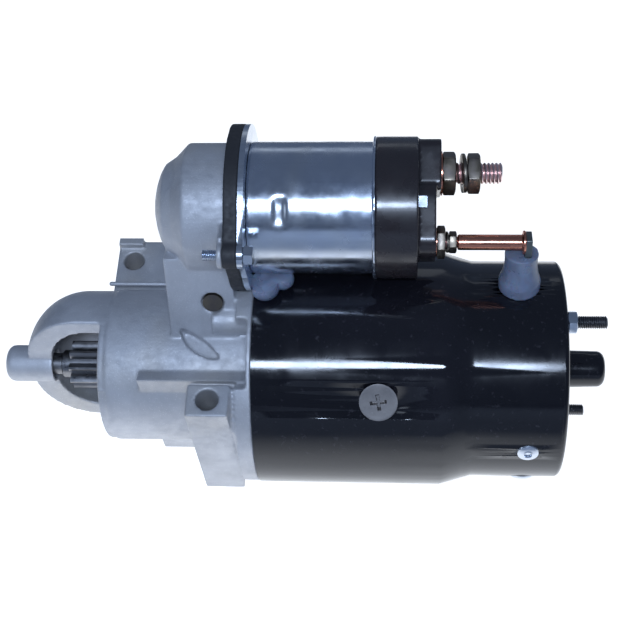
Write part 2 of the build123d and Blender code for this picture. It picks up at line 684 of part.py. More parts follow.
with BuildPart() as end_frame:
    with BuildSketch(Plane.XZ):
        with BuildLine():
            Polyline(
                (FRAME_REAR - CAP_SPIGOT, SMALL_BORE_R - 3), (FRAME_REAR - CAP_SPIGOT, SMALL_BORE_R),
                (FRAME_REAR, SMALL_BORE_R), (FRAME_REAR, SMALL_R),
            )
            RadiusArc((FRAME_REAR, SMALL_R), (END_FACE, SMALL_R - CAP_PLATE), CAP_PLATE)
            Polyline(
                (END_FACE, SMALL_R - CAP_PLATE),
                (END_FACE, REAR_BOSS_R),
                (REAR_BOSS_END - 4, REAR_BOSS_R - 0.4),
            )
            ThreePointArc(
                (REAR_BOSS_END - 4, REAR_BOSS_R - 0.4), (REAR_BOSS_END - 1.1, REAR_BOSS_R - 1.6),
                (REAR_BOSS_END, REAR_BOSS_R - 4.4),
            )
            Polyline(
                (REAR_BOSS_END, REAR_BOSS_R - 4.4), (REAR_BOSS_END, 0), (SHAFT_REAR + 1, 0),
                (SHAFT_REAR + 1, REAR_BUSH_R), (FRAME_REAR - 5, REAR_BUSH_R), (FRAME_REAR - 5, CAP_HUB_R),
                (FRAME_REAR, CAP_HUB_R), (FRAME_REAR, SMALL_BORE_R - 3), close=False,
            )
            Line((FRAME_REAR, SMALL_BORE_R - 3), (FRAME_REAR - CAP_SPIGOT, SMALL_BORE_R - 3))
        make_face()
    revolve(axis=SHAFT_AXIS)
    with BuildSketch(square_to_shaft(FRAME_REAR - CAP_SPIGOT)):
        with Locations(*STUD_POINTS):
            Circle(STUD_R + STUD_HOLE_GAP)
    extrude(amount=CAP_SPIGOT + CAP_PLATE, mode=Mode.SUBTRACT)
save(end_frame, "end_frame")

with BuildPart() as through_studs:
    with BuildSketch(square_to_shaft(STUD_FRONT)):
        with Locations(*STUD_POINTS):
            Circle(STUD_CORE_R)
    extrude(amount=END_FACE + STUD_NUT_HEIGHT - STUD_FRONT)
    with BuildSketch(square_to_shaft(END_FACE + STUD_NUT_HEIGHT)):
        with Locations(*STUD_POINTS):
            Circle(STUD_R)
    extrude(amount=STUD_REAR - END_FACE - STUD_NUT_HEIGHT)
    chamfer(through_studs.faces().sort_by(Axis.X)[-2:].edges(), 0.8)
save(through_studs, "through_studs")

with BuildPart() as through_stud_nuts:
    with BuildSketch(square_to_shaft(END_FACE)):
        with Locations(*STUD_POINTS):
            RegularPolygon(STUD_NUT_AF / 2, 6, major_radius=False)
            Circle(STUD_CORE_R, mode=Mode.SUBTRACT)
    extrude(amount=STUD_NUT_HEIGHT)
save(through_stud_nuts, "through_stud_nuts")

with BuildPart() as nose_bushing:
    with BuildSketch(square_to_shaft(NOSE_BORE_END + 0.5)):
        Circle(NOSE_BORE_R)
        Circle(NOSE_JOURNAL_R + RUN_GAP, mode=Mode.SUBTRACT)
    extrude(amount=HUB_RECESS_END - NOSE_BORE_END - 1)
save(nose_bushing, "nose_bushing")

with BuildPart() as rear_bushing:
    with BuildSketch(square_to_shaft(END_FACE)):
        Circle(REAR_BUSH_R)
        Circle(REAR_JOURNAL_R + RUN_GAP, mode=Mode.SUBTRACT)
    extrude(amount=REAR_BUSH_LENGTH)
save(rear_bushing, "rear_bushing")

# ===========================================================================
# Poles, field coils and their screws
# ===========================================================================
POLE_FACE_R = CORE_R + AIR_GAP
POLE_TIP_R = POLE_FACE_R + POLE_TIP_DEPTH
COIL_INNER_R = POLE_TIP_R + FREE_GAP
POLE_SCREW_TIP_R = FRAME_BORE_R - POLE_SCREW_LENGTH

with BuildPart() as pole_shoes:
    with BuildSketch(square_to_shaft(POLE_X - POLE_LENGTH / 2 - 4)):
        for angle in POLE_ANGLES:
            add(ring_sector(POLE_FACE_R, POLE_TIP_R, angle, POLE_TIP_SPAN))
    extrude(amount=POLE_LENGTH + 8)
    with BuildSketch(square_to_shaft(POLE_X - POLE_LENGTH / 2)):
        with PolarLocations(POLE_FACE_R + 1, len(POLE_ANGLES), start_angle=POLE_ANGLES[0]):
            Rectangle(FRAME_BORE_R, POLE_WIDTH, align=(Align.MIN, Align.CENTER))
        Circle(FRAME_BORE_R, mode=Mode.INTERSECT)
    extrude(amount=POLE_LENGTH)
    with Locations(*[radial(POLE_X, a, POLE_SCREW_TIP_R) for a in POLE_ANGLES]):
        Cylinder(POLE_SCREW_R, FRAME_R, align=(Align.CENTER, Align.CENTER, Align.MIN), mode=Mode.SUBTRACT)
save(pole_shoes, "pole_shoes")

with BuildPart() as pole_shoe_screws:
    with Locations(*[radial(POLE_X, a, FRAME_R - POLE_SCREW_HEAD_H) for a in POLE_ANGLES]):
        Cone(POLE_SCREW_R, POLE_SCREW_HEAD_R, POLE_SCREW_HEAD_H,
             align=(Align.CENTER, Align.CENTER, Align.MIN))
    with Locations(*[radial(POLE_X, a, POLE_SCREW_TIP_R) for a in POLE_ANGLES]):
        Cylinder(POLE_SCREW_R, FRAME_R - POLE_SCREW_HEAD_H - POLE_SCREW_TIP_R,
                 align=(Align.CENTER, Align.CENTER, Align.MIN))
    # cross recess
    with Locations(*[radial(POLE_X, a, FRAME_R) for a in POLE_ANGLES]):
        Box(CROSS_LENGTH, CROSS_WIDTH, 2 * CROSS_DEPTH, mode=Mode.SUBTRACT)
        Box(CROSS_WIDTH, CROSS_LENGTH, 2 * CROSS_DEPTH, mode=Mode.SUBTRACT)
save(pole_shoe_screws, "pole_shoe_screws")

with BuildPart() as field_coils:
    with BuildSketch(square_to_shaft(POLE_X - POLE_LENGTH / 2 - COIL_WIDTH)):
        for angle in POLE_ANGLES:
            add(ring_sector(COIL_INNER_R, COIL_INNER_R + COIL_DEPTH, angle, COIL_SPAN))
    extrude(amount=POLE_LENGTH + 2 * COIL_WIDTH)
    for angle in POLE_ANGLES:
        with BuildSketch(radial(POLE_X, angle, POLE_TIP_R - 2)):
            RectangleRounded(POLE_LENGTH + 2 * FREE_GAP, POLE_WIDTH + 2 * FREE_GAP, 0.2)
        extrude(amount=FRAME_R - POLE_TIP_R, mode=Mode.SUBTRACT)
save(field_coils, "field_coils")

# ===========================================================================
# Armature
# ===========================================================================
CORE_FRONT = POLE_X - CORE_LENGTH / 2
CORE_BACK = POLE_X + CORE_LENGTH / 2
JOURNAL_START = FRAME_REAR - 9.0
SHAFT_STEPS = [
    (SHAFT_FRONT, NOSE_JOURNAL_R), (SPLINE_START, SPLINE_R), (CORE_FRONT - WINDING_END - 4, CORE_SEAT_R),
    (JOURNAL_START, REAR_JOURNAL_R), (SHAFT_REAR, 0),
]

with BuildPart() as armature_shaft:
    for (start, radius), (end, _) in zip(SHAFT_STEPS, SHAFT_STEPS[1:]):
        with BuildSketch(square_to_shaft(start)):
            Circle(radius)
        extrude(amount=end - start)
    chamfer(armature_shaft.faces().sort_by(Axis.X)[0].edges(), 0.8)
save(armature_shaft, "armature_shaft")

with BuildPart() as armature_core:
    with BuildSketch(square_to_shaft(CORE_FRONT)):
        Circle(CORE_R)
        Circle(CORE_SEAT_R, mode=Mode.SUBTRACT)
        with PolarLocations(CORE_R - SLOT_DEPTH, CORE_SLOTS):
            Rectangle(2 * SLOT_DEPTH, SLOT_WIDTH, align=(Align.MIN, Align.CENTER), mode=Mode.SUBTRACT)
    extrude(amount=CORE_LENGTH)
save(armature_core, "armature_core")

with BuildPart() as armature_windings:
    with BuildSketch(square_to_shaft(CORE_FRONT)):
        with PolarLocations(CORE_R - SLOT_DEPTH + 0.3, CORE_SLOTS):
            Rectangle(SLOT_DEPTH - 0.8, SLOT_WIDTH - 0.4, align=(Align.MIN, Align.CENTER))
    extrude(amount=CORE_LENGTH)
    for start in (CORE_FRONT - WINDING_END, CORE_BACK):
        with BuildSketch(square_to_shaft(start)):
            Circle(CORE_R - 0.8)
            Circle(CORE_SEAT_R + 3, mode=Mode.SUBTRACT)
        extrude(amount=WINDING_END)
save(armature_windings, "armature_windings")

with BuildPart() as commutator:
    with BuildSketch(square_to_shaft(COMM_FRONT)):
        Circle(COMM_R + 3.5)
    extrude(amount=3)
    with BuildSketch(square_to_shaft(COMM_FRONT)):
        Circle(COMM_R)
    extrude(amount=COMM_REAR - COMM_FRONT)
    with BuildSketch(square_to_shaft(COMM_FRONT)):
        with PolarLocations(COMM_R - 1.2, COMM_BARS):
            Rectangle(6, 0.8, align=(Align.MIN, Align.CENTER))
        Circle(CORE_SEAT_R)
    extrude(amount=COMM_REAR - COMM_FRONT, mode=Mode.SUBTRACT)
save(commutator, "commutator")

with BuildPart() as thrust_washer:
    with BuildSketch(square_to_shaft(JOURNAL_START)):
        Circle(CORE_SEAT_R + 1)
        Circle(REAR_JOURNAL_R, mode=Mode.SUBTRACT)
    extrude(amount=1.5)
save(thrust_washer, "thrust_washer")

with BuildPart() as pinion_stop:
    with BuildSketch(square_to_shaft(STOP_REAR - STOP_WIDTH)):
        Circle(STOP_R)
        Circle(NOSE_JOURNAL_R, mode=Mode.SUBTRACT)
    extrude(amount=STOP_WIDTH)
save(pinion_stop, "pinion_stop")

# ===========================================================================
# Pinion and overrunning clutch
# ===========================================================================
PITCH_R = 9.525
PRESSURE_ANGLE = radians(20)
PITCH_THICKNESS = 3.9
BASE_R = PITCH_R * cos(PRESSURE_ANGLE)


def involute(angle):
    return sin(angle) / cos(angle) - angle


def tooth_half_angle(radius):
    """Half the angle that a tooth takes up at a radius, in degrees."""
    flank = acos(min(1.0, BASE_R / radius))
    return degrees(PITCH_THICKNESS / (2 * PITCH_R) + involute(PRESSURE_ANGLE) - involute(flank))


def pinion_tooth():
    """One involute tooth along local X, from below the root to the tip."""
    stations = [BASE_R + (PINION_TIP_R - BASE_R) * i / 3 for i in range(4)]
    upper = [on_circle(r, tooth_half_angle(r)) for r in stations]
    lower = [on_circle(r, -tooth_half_angle(r)) for r in stations]
    foot = tooth_half_angle(BASE_R)
    with BuildSketch() as tooth:
        with BuildLine():
            Line(on_circle(PINION_ROOT_R - 1, foot), upper[0])
            Spline(*upper)
            ThreePointArc(upper[-1], (PINION_TIP_R, 0), lower[-1])
            Spline(*reversed(lower))
            Line(lower[0], on_circle(PINION_ROOT_R - 1, -foot))
            Line(on_circle(PINION_ROOT_R - 1, -foot), on_circle(PINION_ROOT_R - 1, foot))
        make_face()
    return tooth.sketch


NECK_R = PINION_HUB_R - 0.1
SHELL_FRONT_WALL = 3.0
SHELL_BACK_WALL = 4.0
RACE_FRONT = CLUTCH_FRONT + SHELL_FRONT_WALL + FREE_GAP
RACE_REAR = CLUTCH_REAR - SHELL_BACK_WALL - FREE_GAP
ROLLER_GAP = 0.1
ROLLER_CIRCLE_R = RACE_R + ROLLER_R + ROLLER_GAP
CAM_R = ROLLER_CIRCLE_R + ROLLER_R + ROLLER_GAP

with BuildPart() as drive_pinion:
    with BuildSketch(square_to_shaft(PINION_FRONT)):
        Circle(PINION_ROOT_R)
        with PolarLocations(0, PINION_TEETH, start_angle=WINDOW_ANGLE):
            add(pinion_tooth())
    extrude(amount=PINION_WIDTH)
    with BuildSketch(square_to_shaft(HUB_FRONT)):
        Circle(PINION_HUB_R)
    extrude(amount=PINION_HUB_LENGTH)
    with BuildSketch(square_to_shaft(PINION_REAR)):
        Circle(NECK_R)
    extrude(amount=RACE_FRONT - PINION_REAR)
    with BuildSketch(square_to_shaft(RACE_FRONT)):
        Circle(RACE_R)
    extrude(amount=RACE_REAR - RACE_FRONT)
    with BuildSketch(square_to_shaft(HUB_FRONT)):
        Circle(NOSE_JOURNAL_R + RUN_GAP)
    extrude(amount=RACE_REAR - HUB_FRONT, mode=Mode.SUBTRACT)
    chamfer(drive_pinion.faces().sort_by(Axis.X)[0].edges(), 0.5)
save(drive_pinion, "drive_pinion")

with BuildPart() as clutch_shell:
    with BuildSketch(square_to_shaft(CLUTCH_FRONT)):
        Circle(CLUTCH_R)
        Circle(NECK_R + FREE_GAP, mode=Mode.SUBTRACT)
    extrude(amount=CLUTCH_LENGTH - SHELL_BACK_WALL)
    with BuildSketch(square_to_shaft(CLUTCH_FRONT + SHELL_FRONT_WALL)):
        Circle(CAM_R)
    extrude(amount=CLUTCH_LENGTH - SHELL_FRONT_WALL - SHELL_BACK_WALL, mode=Mode.SUBTRACT)
    with BuildSketch(square_to_shaft(CLUTCH_REAR - SHELL_BACK_WALL)):
        Circle(CLUTCH_R)
        Circle(SLEEVE_R, mode=Mode.SUBTRACT)
    extrude(amount=SHELL_BACK_WALL)
    chamfer(clutch_shell.edges().filter_by(GeomType.CIRCLE).sort_by(SortBy.RADIUS)[-2:], 1.2)
save(clutch_shell, "clutch_shell")

with BuildPart() as clutch_rollers:
    with BuildSketch(square_to_shaft(RACE_FRONT + 0.5)):
        with PolarLocations(ROLLER_CIRCLE_R, ROLLERS):
            Circle(ROLLER_R)
    extrude(amount=RACE_REAR - RACE_FRONT - 1)
save(clutch_rollers, "clutch_rollers")

with BuildPart() as drive_sleeve:
    with BuildSketch(square_to_shaft(CLUTCH_REAR - SHELL_BACK_WALL)):
        Circle(SLEEVE_R)
        Circle(SPLINE_R + RUN_GAP, mode=Mode.SUBTRACT)
    extrude(amount=SLEEVE_REAR - CLUTCH_REAR + SHELL_BACK_WALL)
save(drive_sleeve, "drive_sleeve")

COLLAR_FRONT = PAD_X - GROOVE_HALF - COLLAR_FLANGE
with BuildPart() as shift_collar:
    with BuildSketch(square_to_shaft(COLLAR_FRONT)):
        Circle(COLLAR_HUB_R)
    extrude(amount=2 * (GROOVE_HALF + COLLAR_FLANGE))
    for start in (COLLAR_FRONT, PAD_X + GROOVE_HALF):
        with BuildSketch(square_to_shaft(start)):
            Circle(COLLAR_R)
        extrude(amount=COLLAR_FLANGE)
    with BuildSketch(square_to_shaft(COLLAR_FRONT)):
        Circle(SLEEVE_R)
    extrude(amount=2 * (GROOVE_HALF + COLLAR_FLANGE), mode=Mode.SUBTRACT)
save(shift_collar, "shift_collar")


def coil_spring(start, end, radius, wire, turns, axis_origin=(0, 0, 0), direction=(1, 0, 0)):
    """Helical spring of round wire along an axis, between two stations."""
    height = end - start - 2 * wire
    along = Vector(*direction)
    centre = Vector(*axis_origin) + along * (start + wire)
    path = Helix(pitch=height / turns, height=height, radius=radius, center=centre, direction=direction)
    with BuildPart() as spring:
        with BuildSketch(Plane(origin=path @ 0, z_dir=path % 0)):
            Circle(wire)
        sweep(path=path)
    return spring.part


with BuildPart() as drive_spring:
    add(coil_spring(CLUTCH_REAR + 0.1, COLLAR_FRONT - 0.1, SPRING_R, SPRING_WIRE_R, SPRING_TURNS))
save(drive_spring, "drive_spring")

# ===========================================================================
# Shift lever
# ===========================================================================
LEVER_PLANE = Plane(
    origin=(PIVOT_X, 0, PIVOT_Z),
    x_dir=(cos(radians(LEVER_TILT)), 0, sin(radians(LEVER_TILT))),
    z_dir=(0, -1, 0),
)
ARM_BOTTOM = 2.3
ARM_TOP = 6.0
WEB_LOW = -26.0

with BuildPart() as shift_lever:
    # two fork arms, each ending in a round pad
    for side in (-LEVER_HALF, LEVER_HALF - ARM_THICK):
        with BuildSketch(LEVER_PLANE.offset(side)):
            with BuildLine():
                Polyline(
                    (-ARM_BOTTOM, -PAD_REACH), (ARM_BOTTOM, -PAD_REACH), (ARM_BOTTOM, -PAD_REACH + 12),
                    (ARM_TOP, WEB_LOW), (LEVER_HUB_R, 0), (-LEVER_HUB_R, 0), (-ARM_TOP, WEB_LOW),
                    (-ARM_BOTTOM, -PAD_REACH + 12), close=True,
                )
            make_face()
            Circle(LEVER_HUB_R)
            with Locations((0, -PAD_REACH)):
                Circle(PAD_R)
        extrude(amount=ARM_THICK)
    # barrel around the pin and web between the arms
    with BuildSketch(LEVER_PLANE.offset(-LEVER_HALF)):
        Circle(LEVER_HUB_R)
        with Locations((0, WEB_LOW / 2)):
            Rectangle(ARM_TOP, -WEB_LOW)
    extrude(amount=2 * LEVER_HALF)
    # upper plate with the open slot for the plunger link
    with BuildSketch(LEVER_PLANE.offset(-TOP_PLATE / 2)):
        with BuildLine():
            Polyline(
                (-LEVER_HUB_R + 1, 0), (LEVER_HUB_R - 1, 0), (LINK_R + 3.2, LINK_REACH - 6),
                (LINK_R + 3.2, LINK_REACH + 5),
                (-LINK_R - 3.2, LINK_REACH + 5),
                (-LINK_R - 3.2, LINK_REACH - 6),
                close=True,
            )
        make_face()
        with Locations((0, LINK_REACH - LINK_R - 0.6)):
            Rectangle(2 * (LINK_R + FREE_GAP), 20, align=(Align.CENTER, Align.MIN), mode=Mode.SUBTRACT)
    extrude(amount=TOP_PLATE)
    with BuildSketch(LEVER_PLANE.offset(-LEVER_HALF)):
        Circle(PIVOT_R + 2 * RUN_GAP)
    extrude(amount=2 * LEVER_HALF, mode=Mode.SUBTRACT)
save(shift_lever, "shift_lever")

with BuildPart() as lever_pivot_pin:
    with BuildSketch(Plane.XZ.offset(-NECK_HALF)):
        with Locations((PIVOT_X, PIVOT_Z)):
            Circle(PIVOT_R)
    extrude(amount=2 * NECK_HALF)
    with BuildSketch(Plane.XZ.offset(NECK_HALF + 0.4)):
        with Locations((PIVOT_X, PIVOT_Z)):
            Circle(PIVOT_HEAD_R)
    extrude(amount=-2.4)
save(lever_pivot_pin, "lever_pivot_pin")

# ===========================================================================
# Solenoid: gasket, flange, case, magnet and plunger
# ===========================================================================
EAR_POINTS = ((-SOL_SCREW_Y, 0), (SOL_SCREW_Y, 0))


def flange_outline():
    """Round plate with two screw ears that run smoothly into it."""
    with BuildSketch() as outline:
        Circle(PLATE_R)
        SlotCenterToCenter(2 * SOL_SCREW_Y, 2 * SOL_EAR_R)
        with BuildLine():
            for side in (-1, 1):
                Polyline(
                    (side * SOL_SCREW_Y, SOL_EAR_R), (side * PLATE_R * 0.72, PLATE_R * 0.69),
                    (side * PLATE_R * 0.72, -PLATE_R * 0.69), (side * SOL_SCREW_Y, -SOL_EAR_R), close=True,
                )
        make_face()
    return outline.sketch


with BuildPart() as flange_gasket:
    with BuildSketch(across_solenoid(CUP_REAR)):
        add(flange_outline())
        with Locations((0, (TONGUE_BOTTOM - SOL_Z) / 2)):
            Rectangle(2 * TONGUE_HALF, SOL_Z - TONGUE_BOTTOM)
        Circle(CUP_R - CUP_WALL, mode=Mode.SUBTRACT)
        with Locations(*EAR_POINTS):
            Circle(SOL_SCREW_R, mode=Mode.SUBTRACT)
    extrude(amount=GASKET_T)
    with BuildSketch(across_solenoid(PLATE_FRONT)):
        with BuildLine():
            Polyline(
                (-TONGUE_HALF, TONGUE_BOTTOM - SOL_Z), (TONGUE_HALF, TONGUE_BOTTOM - SOL_Z),
                (TONGUE_HALF, TONGUE_BOTTOM - SOL_Z + 8),
                (-TONGUE_HALF, TONGUE_BOTTOM - SOL_Z + 8),
                close=True,
            )
        make_face()
        Circle(PLATE_R, mode=Mode.SUBTRACT)
    extrude(amount=FRAME_FRONT - PLATE_FRONT)
save(flange_gasket, "flange_gasket")

with BuildPart() as solenoid_flange:
    with BuildSketch(across_solenoid(PLATE_FRONT)):
        add(flange_outline())
        Circle(PLUNGER_R + FREE_GAP, mode=Mode.SUBTRACT)
        with Locations(*EAR_POINTS):
            Circle(SOL_SCREW_R, mode=Mode.SUBTRACT)
    extrude(amount=FRAME_FRONT - PLATE_FRONT)
save(solenoid_flange, "solenoid_flange")

with BuildPart() as solenoid_screws:
    with BuildSketch(across_solenoid(SOL_SCREW_FRONT)):
        with Locations(*EAR_POINTS):
            Circle(SOL_SCREW_R)
    extrude(amount=FRAME_FRONT - SOL_SCREW_FRONT)
    with BuildSketch(across_solenoid(FRAME_FRONT)):
        with Locations(*EAR_POINTS):
            RegularPolygon(SOL_SCREW_AF / 2, 6, major_radius=False)
    extrude(amount=SOL_SCREW_HEAD)
save(solenoid_screws, "solenoid_screws")

SOL_INNER_R = SOL_R - SOL_WALL
with BuildPart() as solenoid_case:
    with BuildSketch(across_solenoid(FRAME_FRONT)):
        Circle(SOL_R)
        Circle(SOL_INNER_R, mode=Mode.SUBTRACT)
    extrude(amount=SOL_REAR - FRAME_FRONT)
    with BuildSketch(across_solenoid(SOL_REAR - CRIMP_WIDTH)):
        Circle(CRIMP_R)
        Circle(SOL_INNER_R, mode=Mode.SUBTRACT)
    extrude(amount=CRIMP_WIDTH)
save(solenoid_case, "solenoid_case")

BOBBIN_REAR = SOL_REAR - CORE_PLATE
with BuildPart() as solenoid_bobbin:
    with BuildSketch(across_solenoid(FRAME_FRONT)):
        Circle(SOL_BORE_R + BOBBIN_WALL)
        Circle(SOL_BORE_R, mode=Mode.SUBTRACT)
    extrude(amount=BOBBIN_REAR - FRAME_FRONT)
    for start in (FRAME_FRONT, BOBBIN_REAR - BOBBIN_CHEEK):
        with BuildSketch(across_solenoid(start)):
            Circle(SOL_INNER_R)
            Circle(SOL_BORE_R, mode=Mode.SUBTRACT)
        extrude(amount=BOBBIN_CHEEK)
save(solenoid_bobbin, "solenoid_bobbin")

with BuildPart() as solenoid_winding:
    with BuildSketch(across_solenoid(FRAME_FRONT + BOBBIN_CHEEK)):
        Circle(WINDING_R)
        Circle(SOL_BORE_R + BOBBIN_WALL, mode=Mode.SUBTRACT)
    extrude(amount=BOBBIN_REAR - FRAME_FRONT - 2 * BOBBIN_CHEEK)
save(solenoid_winding, "solenoid_winding")

with BuildPart() as solenoid_core:
    with BuildSketch(across_solenoid(FIXED_CORE_FRONT)):
        Circle(SOL_BORE_R)
    extrude(amount=BOBBIN_REAR - FIXED_CORE_FRONT)
    with BuildSketch(across_solenoid(BOBBIN_REAR)):
        Circle(SOL_INNER_R)
    extrude(amount=CORE_PLATE)
    with BuildSketch(across_solenoid(FIXED_CORE_FRONT)):
        Circle(ROD_R + RUN_GAP)
    extrude(amount=SOL_REAR - FIXED_CORE_FRONT, mode=Mode.SUBTRACT)
save(solenoid_core, "solenoid_core")

with BuildPart() as plunger:
    with BuildSketch(across_solenoid(PLUNGER_FRONT)):
        Circle(PLUNGER_R)
    extrude(amount=PLUNGER_REAR - PLUNGER_FRONT)
    with BuildSketch(across_solenoid(SHANK_FRONT)):
        Circle(SHANK_R)
    extrude(amount=PLUNGER_FRONT - SHANK_FRONT)
    # slot for the lever, cross hole for the link pin, bore for the return spring
    with BuildSketch(across_solenoid(SHANK_FRONT)):
        Rectangle(TOP_PLATE + 2 * FREE_GAP, 2 * SHANK_R)
    extrude(amount=LINK_X + LINK_R + 6.5 - SHANK_FRONT, mode=Mode.SUBTRACT)
    with BuildSketch(Plane.XZ.offset(SHANK_R)):
        with Locations((LINK_X, SOL_Z)):
            Circle(LINK_R)
    extrude(amount=-2 * SHANK_R, mode=Mode.SUBTRACT)
    with BuildSketch(across_solenoid(PLUNGER_REAR)):
        Circle(PLUNGER_BORE_R)
    extrude(amount=-PLUNGER_BORE_DEPTH, mode=Mode.SUBTRACT)
save(plunger, "plunger")

with BuildPart() as plunger_link_pin:
    with BuildSketch(Plane.XZ.offset(SHANK_R - 1)):
        with Locations((LINK_X, SOL_Z)):
            Circle(LINK_R)
    extrude(amount=-2 * (SHANK_R - 1))
save(plunger_link_pin, "plunger_link_pin")

with BuildPart() as plunger_return_spring:
    add(coil_spring(PLUNGER_REAR - PLUNGER_BORE_DEPTH + 0.1, FIXED_CORE_FRONT - 0.1, RETURN_SPRING_R,
                    RETURN_WIRE_R, 7, axis_origin=(0, 0, SOL_Z)))
save(plunger_return_spring, "plunger_return_spring")

# ===========================================================================
# Contact bridge and solenoid cap
# ===========================================================================
ROD_FRONT = PLUNGER_REAR - PLUNGER_BORE_DEPTH + PLUNGER_TRAVEL - CONTACT_TRAVEL + 0.1
DISC_FRONT = SOL_REAR + 2.5
ROD_REAR = CHAMBER_END + 2.0
HEAD_FRONT = DISC_FRONT + DISC_T + CONTACT_TRAVEL + 0.05

with BuildPart() as contact_rod:
    with BuildSketch(across_solenoid(ROD_FRONT)):
        Circle(ROD_R)
    extrude(amount=ROD_REAR - ROD_FRONT)
save(contact_rod, "contact_rod")

with BuildPart() as contact_disc:
    with BuildSketch(across_solenoid(DISC_FRONT)):
        Circle(DISC_R)
        Circle(ROD_R, mode=Mode.SUBTRACT)
    extrude(amount=DISC_T)
save(contact_disc, "contact_disc")

with BuildPart() as contact_spring:
    add(coil_spring(DISC_FRONT + DISC_T + 0.1, CHAMBER_END - 0.1, ROD_R + 1.3, 0.4, 4,
                    axis_origin=(0, 0, SOL_Z)))
save(contact_spring, "contact_spring")

BATTERY_ANGLE = TERMINAL_ANGLE
BLOCK_HALF = 14.0
BLOCK_NEAR = 6.5
BLOCK_FAR = SOL_R - 0.5
LOW_HALF = 17.0
LOW_FAR = -24.0
TERMINAL_LINE = Plane(
    origin=(SOL_REAR, 0, SOL_Z),
    x_dir=(0, cos(radians(TERMINAL_ANGLE)), sin(radians(TERMINAL_ANGLE))),
    z_dir=(1, 0, 0),
)
TAB_ANGLE = 143.5
TAB_CIRCLE_R = 22.0
TAB_DEPTH = 6.0
TAB_LENGTH = 10.0
TAB_SIZE = (1.0, 5.0)

with BuildPart() as solenoid_cap:
    with BuildSketch(across_solenoid(SOL_REAR)):
        Circle(CAP_R)
    extrude(amount=CAP_RING_END - SOL_REAR)
    with BuildSketch(TERMINAL_LINE.offset(CAP_RING_END - SOL_REAR)):
        with Locations(((BLOCK_NEAR + BLOCK_FAR) / 2, 0)):
            RectangleRounded(BLOCK_FAR - BLOCK_NEAR, 2 * BLOCK_HALF, 4)
    extrude(amount=CAP_HIGH_END - CAP_RING_END)
    with BuildSketch(TERMINAL_LINE.offset(CAP_RING_END - SOL_REAR)):
        with Locations(((BLOCK_NEAR + 4 + LOW_FAR) / 2, 0)):
            RectangleRounded(BLOCK_NEAR + 4 - LOW_FAR, 2 * LOW_HALF, 8)
    extrude(amount=CAP_LOW_END - CAP_RING_END)
    with BuildSketch(across_solenoid(SOL_REAR)):
        Circle(CAP_CHAMBER_R)
    extrude(amount=CHAMBER_END - SOL_REAR, mode=Mode.SUBTRACT)
    with BuildSketch(across_solenoid(CHAMBER_END)):
        Circle(ROD_R + 0.5)
    extrude(amount=CONTACT_TRAVEL + 4, mode=Mode.SUBTRACT)
    with BuildSketch(terminal_plane(CHAMBER_END, BATTERY_ANGLE)):
        Circle(BATTERY_SHANK_R)
    extrude(amount=CAP_HIGH_END - CHAMBER_END, mode=Mode.SUBTRACT)
    with BuildSketch(terminal_plane(CHAMBER_END, MOTOR_ANGLE)):
        Circle(MOTOR_STUD_R)
    extrude(amount=CAP_HIGH_END - CHAMBER_END, mode=Mode.SUBTRACT)
    # socket of the switch terminal
    with BuildSketch(Plane(origin=(CAP_RING_END, *on_circle(TAB_CIRCLE_R, TAB_ANGLE, SOL_Z)),
                           x_dir=(0, *on_circle(1, TAB_ANGLE)), z_dir=(1, 0, 0))):
        Rectangle(*TAB_SIZE)
    extrude(amount=-TAB_DEPTH, mode=Mode.SUBTRACT)
save(solenoid_cap, "solenoid_cap")

with BuildPart() as switch_terminal:
    with BuildSketch(Plane(origin=(CAP_RING_END - TAB_DEPTH, *on_circle(TAB_CIRCLE_R, TAB_ANGLE, SOL_Z)),
                           x_dir=(0, *on_circle(1, TAB_ANGLE)), z_dir=(1, 0, 0))):
        Rectangle(*TAB_SIZE)
    extrude(amount=TAB_LENGTH)
save(switch_terminal, "switch_terminal")


def stud_washer(start, thickness, outer, inner, angle):
    """Flat ring around a terminal stud."""
    with BuildPart() as ring:
        with BuildSketch(terminal_plane(start, angle)):
            Circle(outer)
            Circle(inner, mode=Mode.SUBTRACT)
        extrude(amount=thickness)
    return ring


def stud_nut(start, height, flats, inner, angle, turn=0.0):
    """Hexagon nut around a terminal stud."""
    with BuildPart() as nut:
        with BuildSketch(terminal_plane(start, angle)):
            RegularPolygon(flats / 2, 6, major_radius=False, rotation=turn)
            Circle(inner, mode=Mode.SUBTRACT)
        extrude(amount=height)
    return nut


with BuildPart() as battery_stud:
    with BuildSketch(terminal_plane(HEAD_FRONT, BATTERY_ANGLE)):
        Circle(TERMINAL_HEAD_R)
    extrude(amount=CHAMBER_END - HEAD_FRONT)
    with BuildSketch(terminal_plane(CHAMBER_END, BATTERY_ANGLE)):
        Circle(BATTERY_SHANK_R)
    extrude(amount=BATTERY_NUT_REAR - CHAMBER_END)
    with BuildSketch(terminal_plane(BATTERY_NUT_REAR, BATTERY_ANGLE)):
        Circle(BATTERY_R)
    extrude(amount=BATTERY_END - BATTERY_NUT_REAR)
    chamfer(battery_stud.faces().sort_by(Axis.X)[-1].edges(), 0.7)
save(battery_stud, "battery_stud")

with BuildPart() as motor_stud:
    with BuildSketch(terminal_plane(HEAD_FRONT, MOTOR_ANGLE)):
        Circle(TERMINAL_HEAD_R)
    extrude(amount=CHAMBER_END - HEAD_FRONT)
    with BuildSketch(terminal_plane(CHAMBER_END, MOTOR_ANGLE)):
        Circle(MOTOR_STUD_R)
    extrude(amount=CONNECTOR_START - CHAMBER_END)
save(motor_stud, "motor_stud")

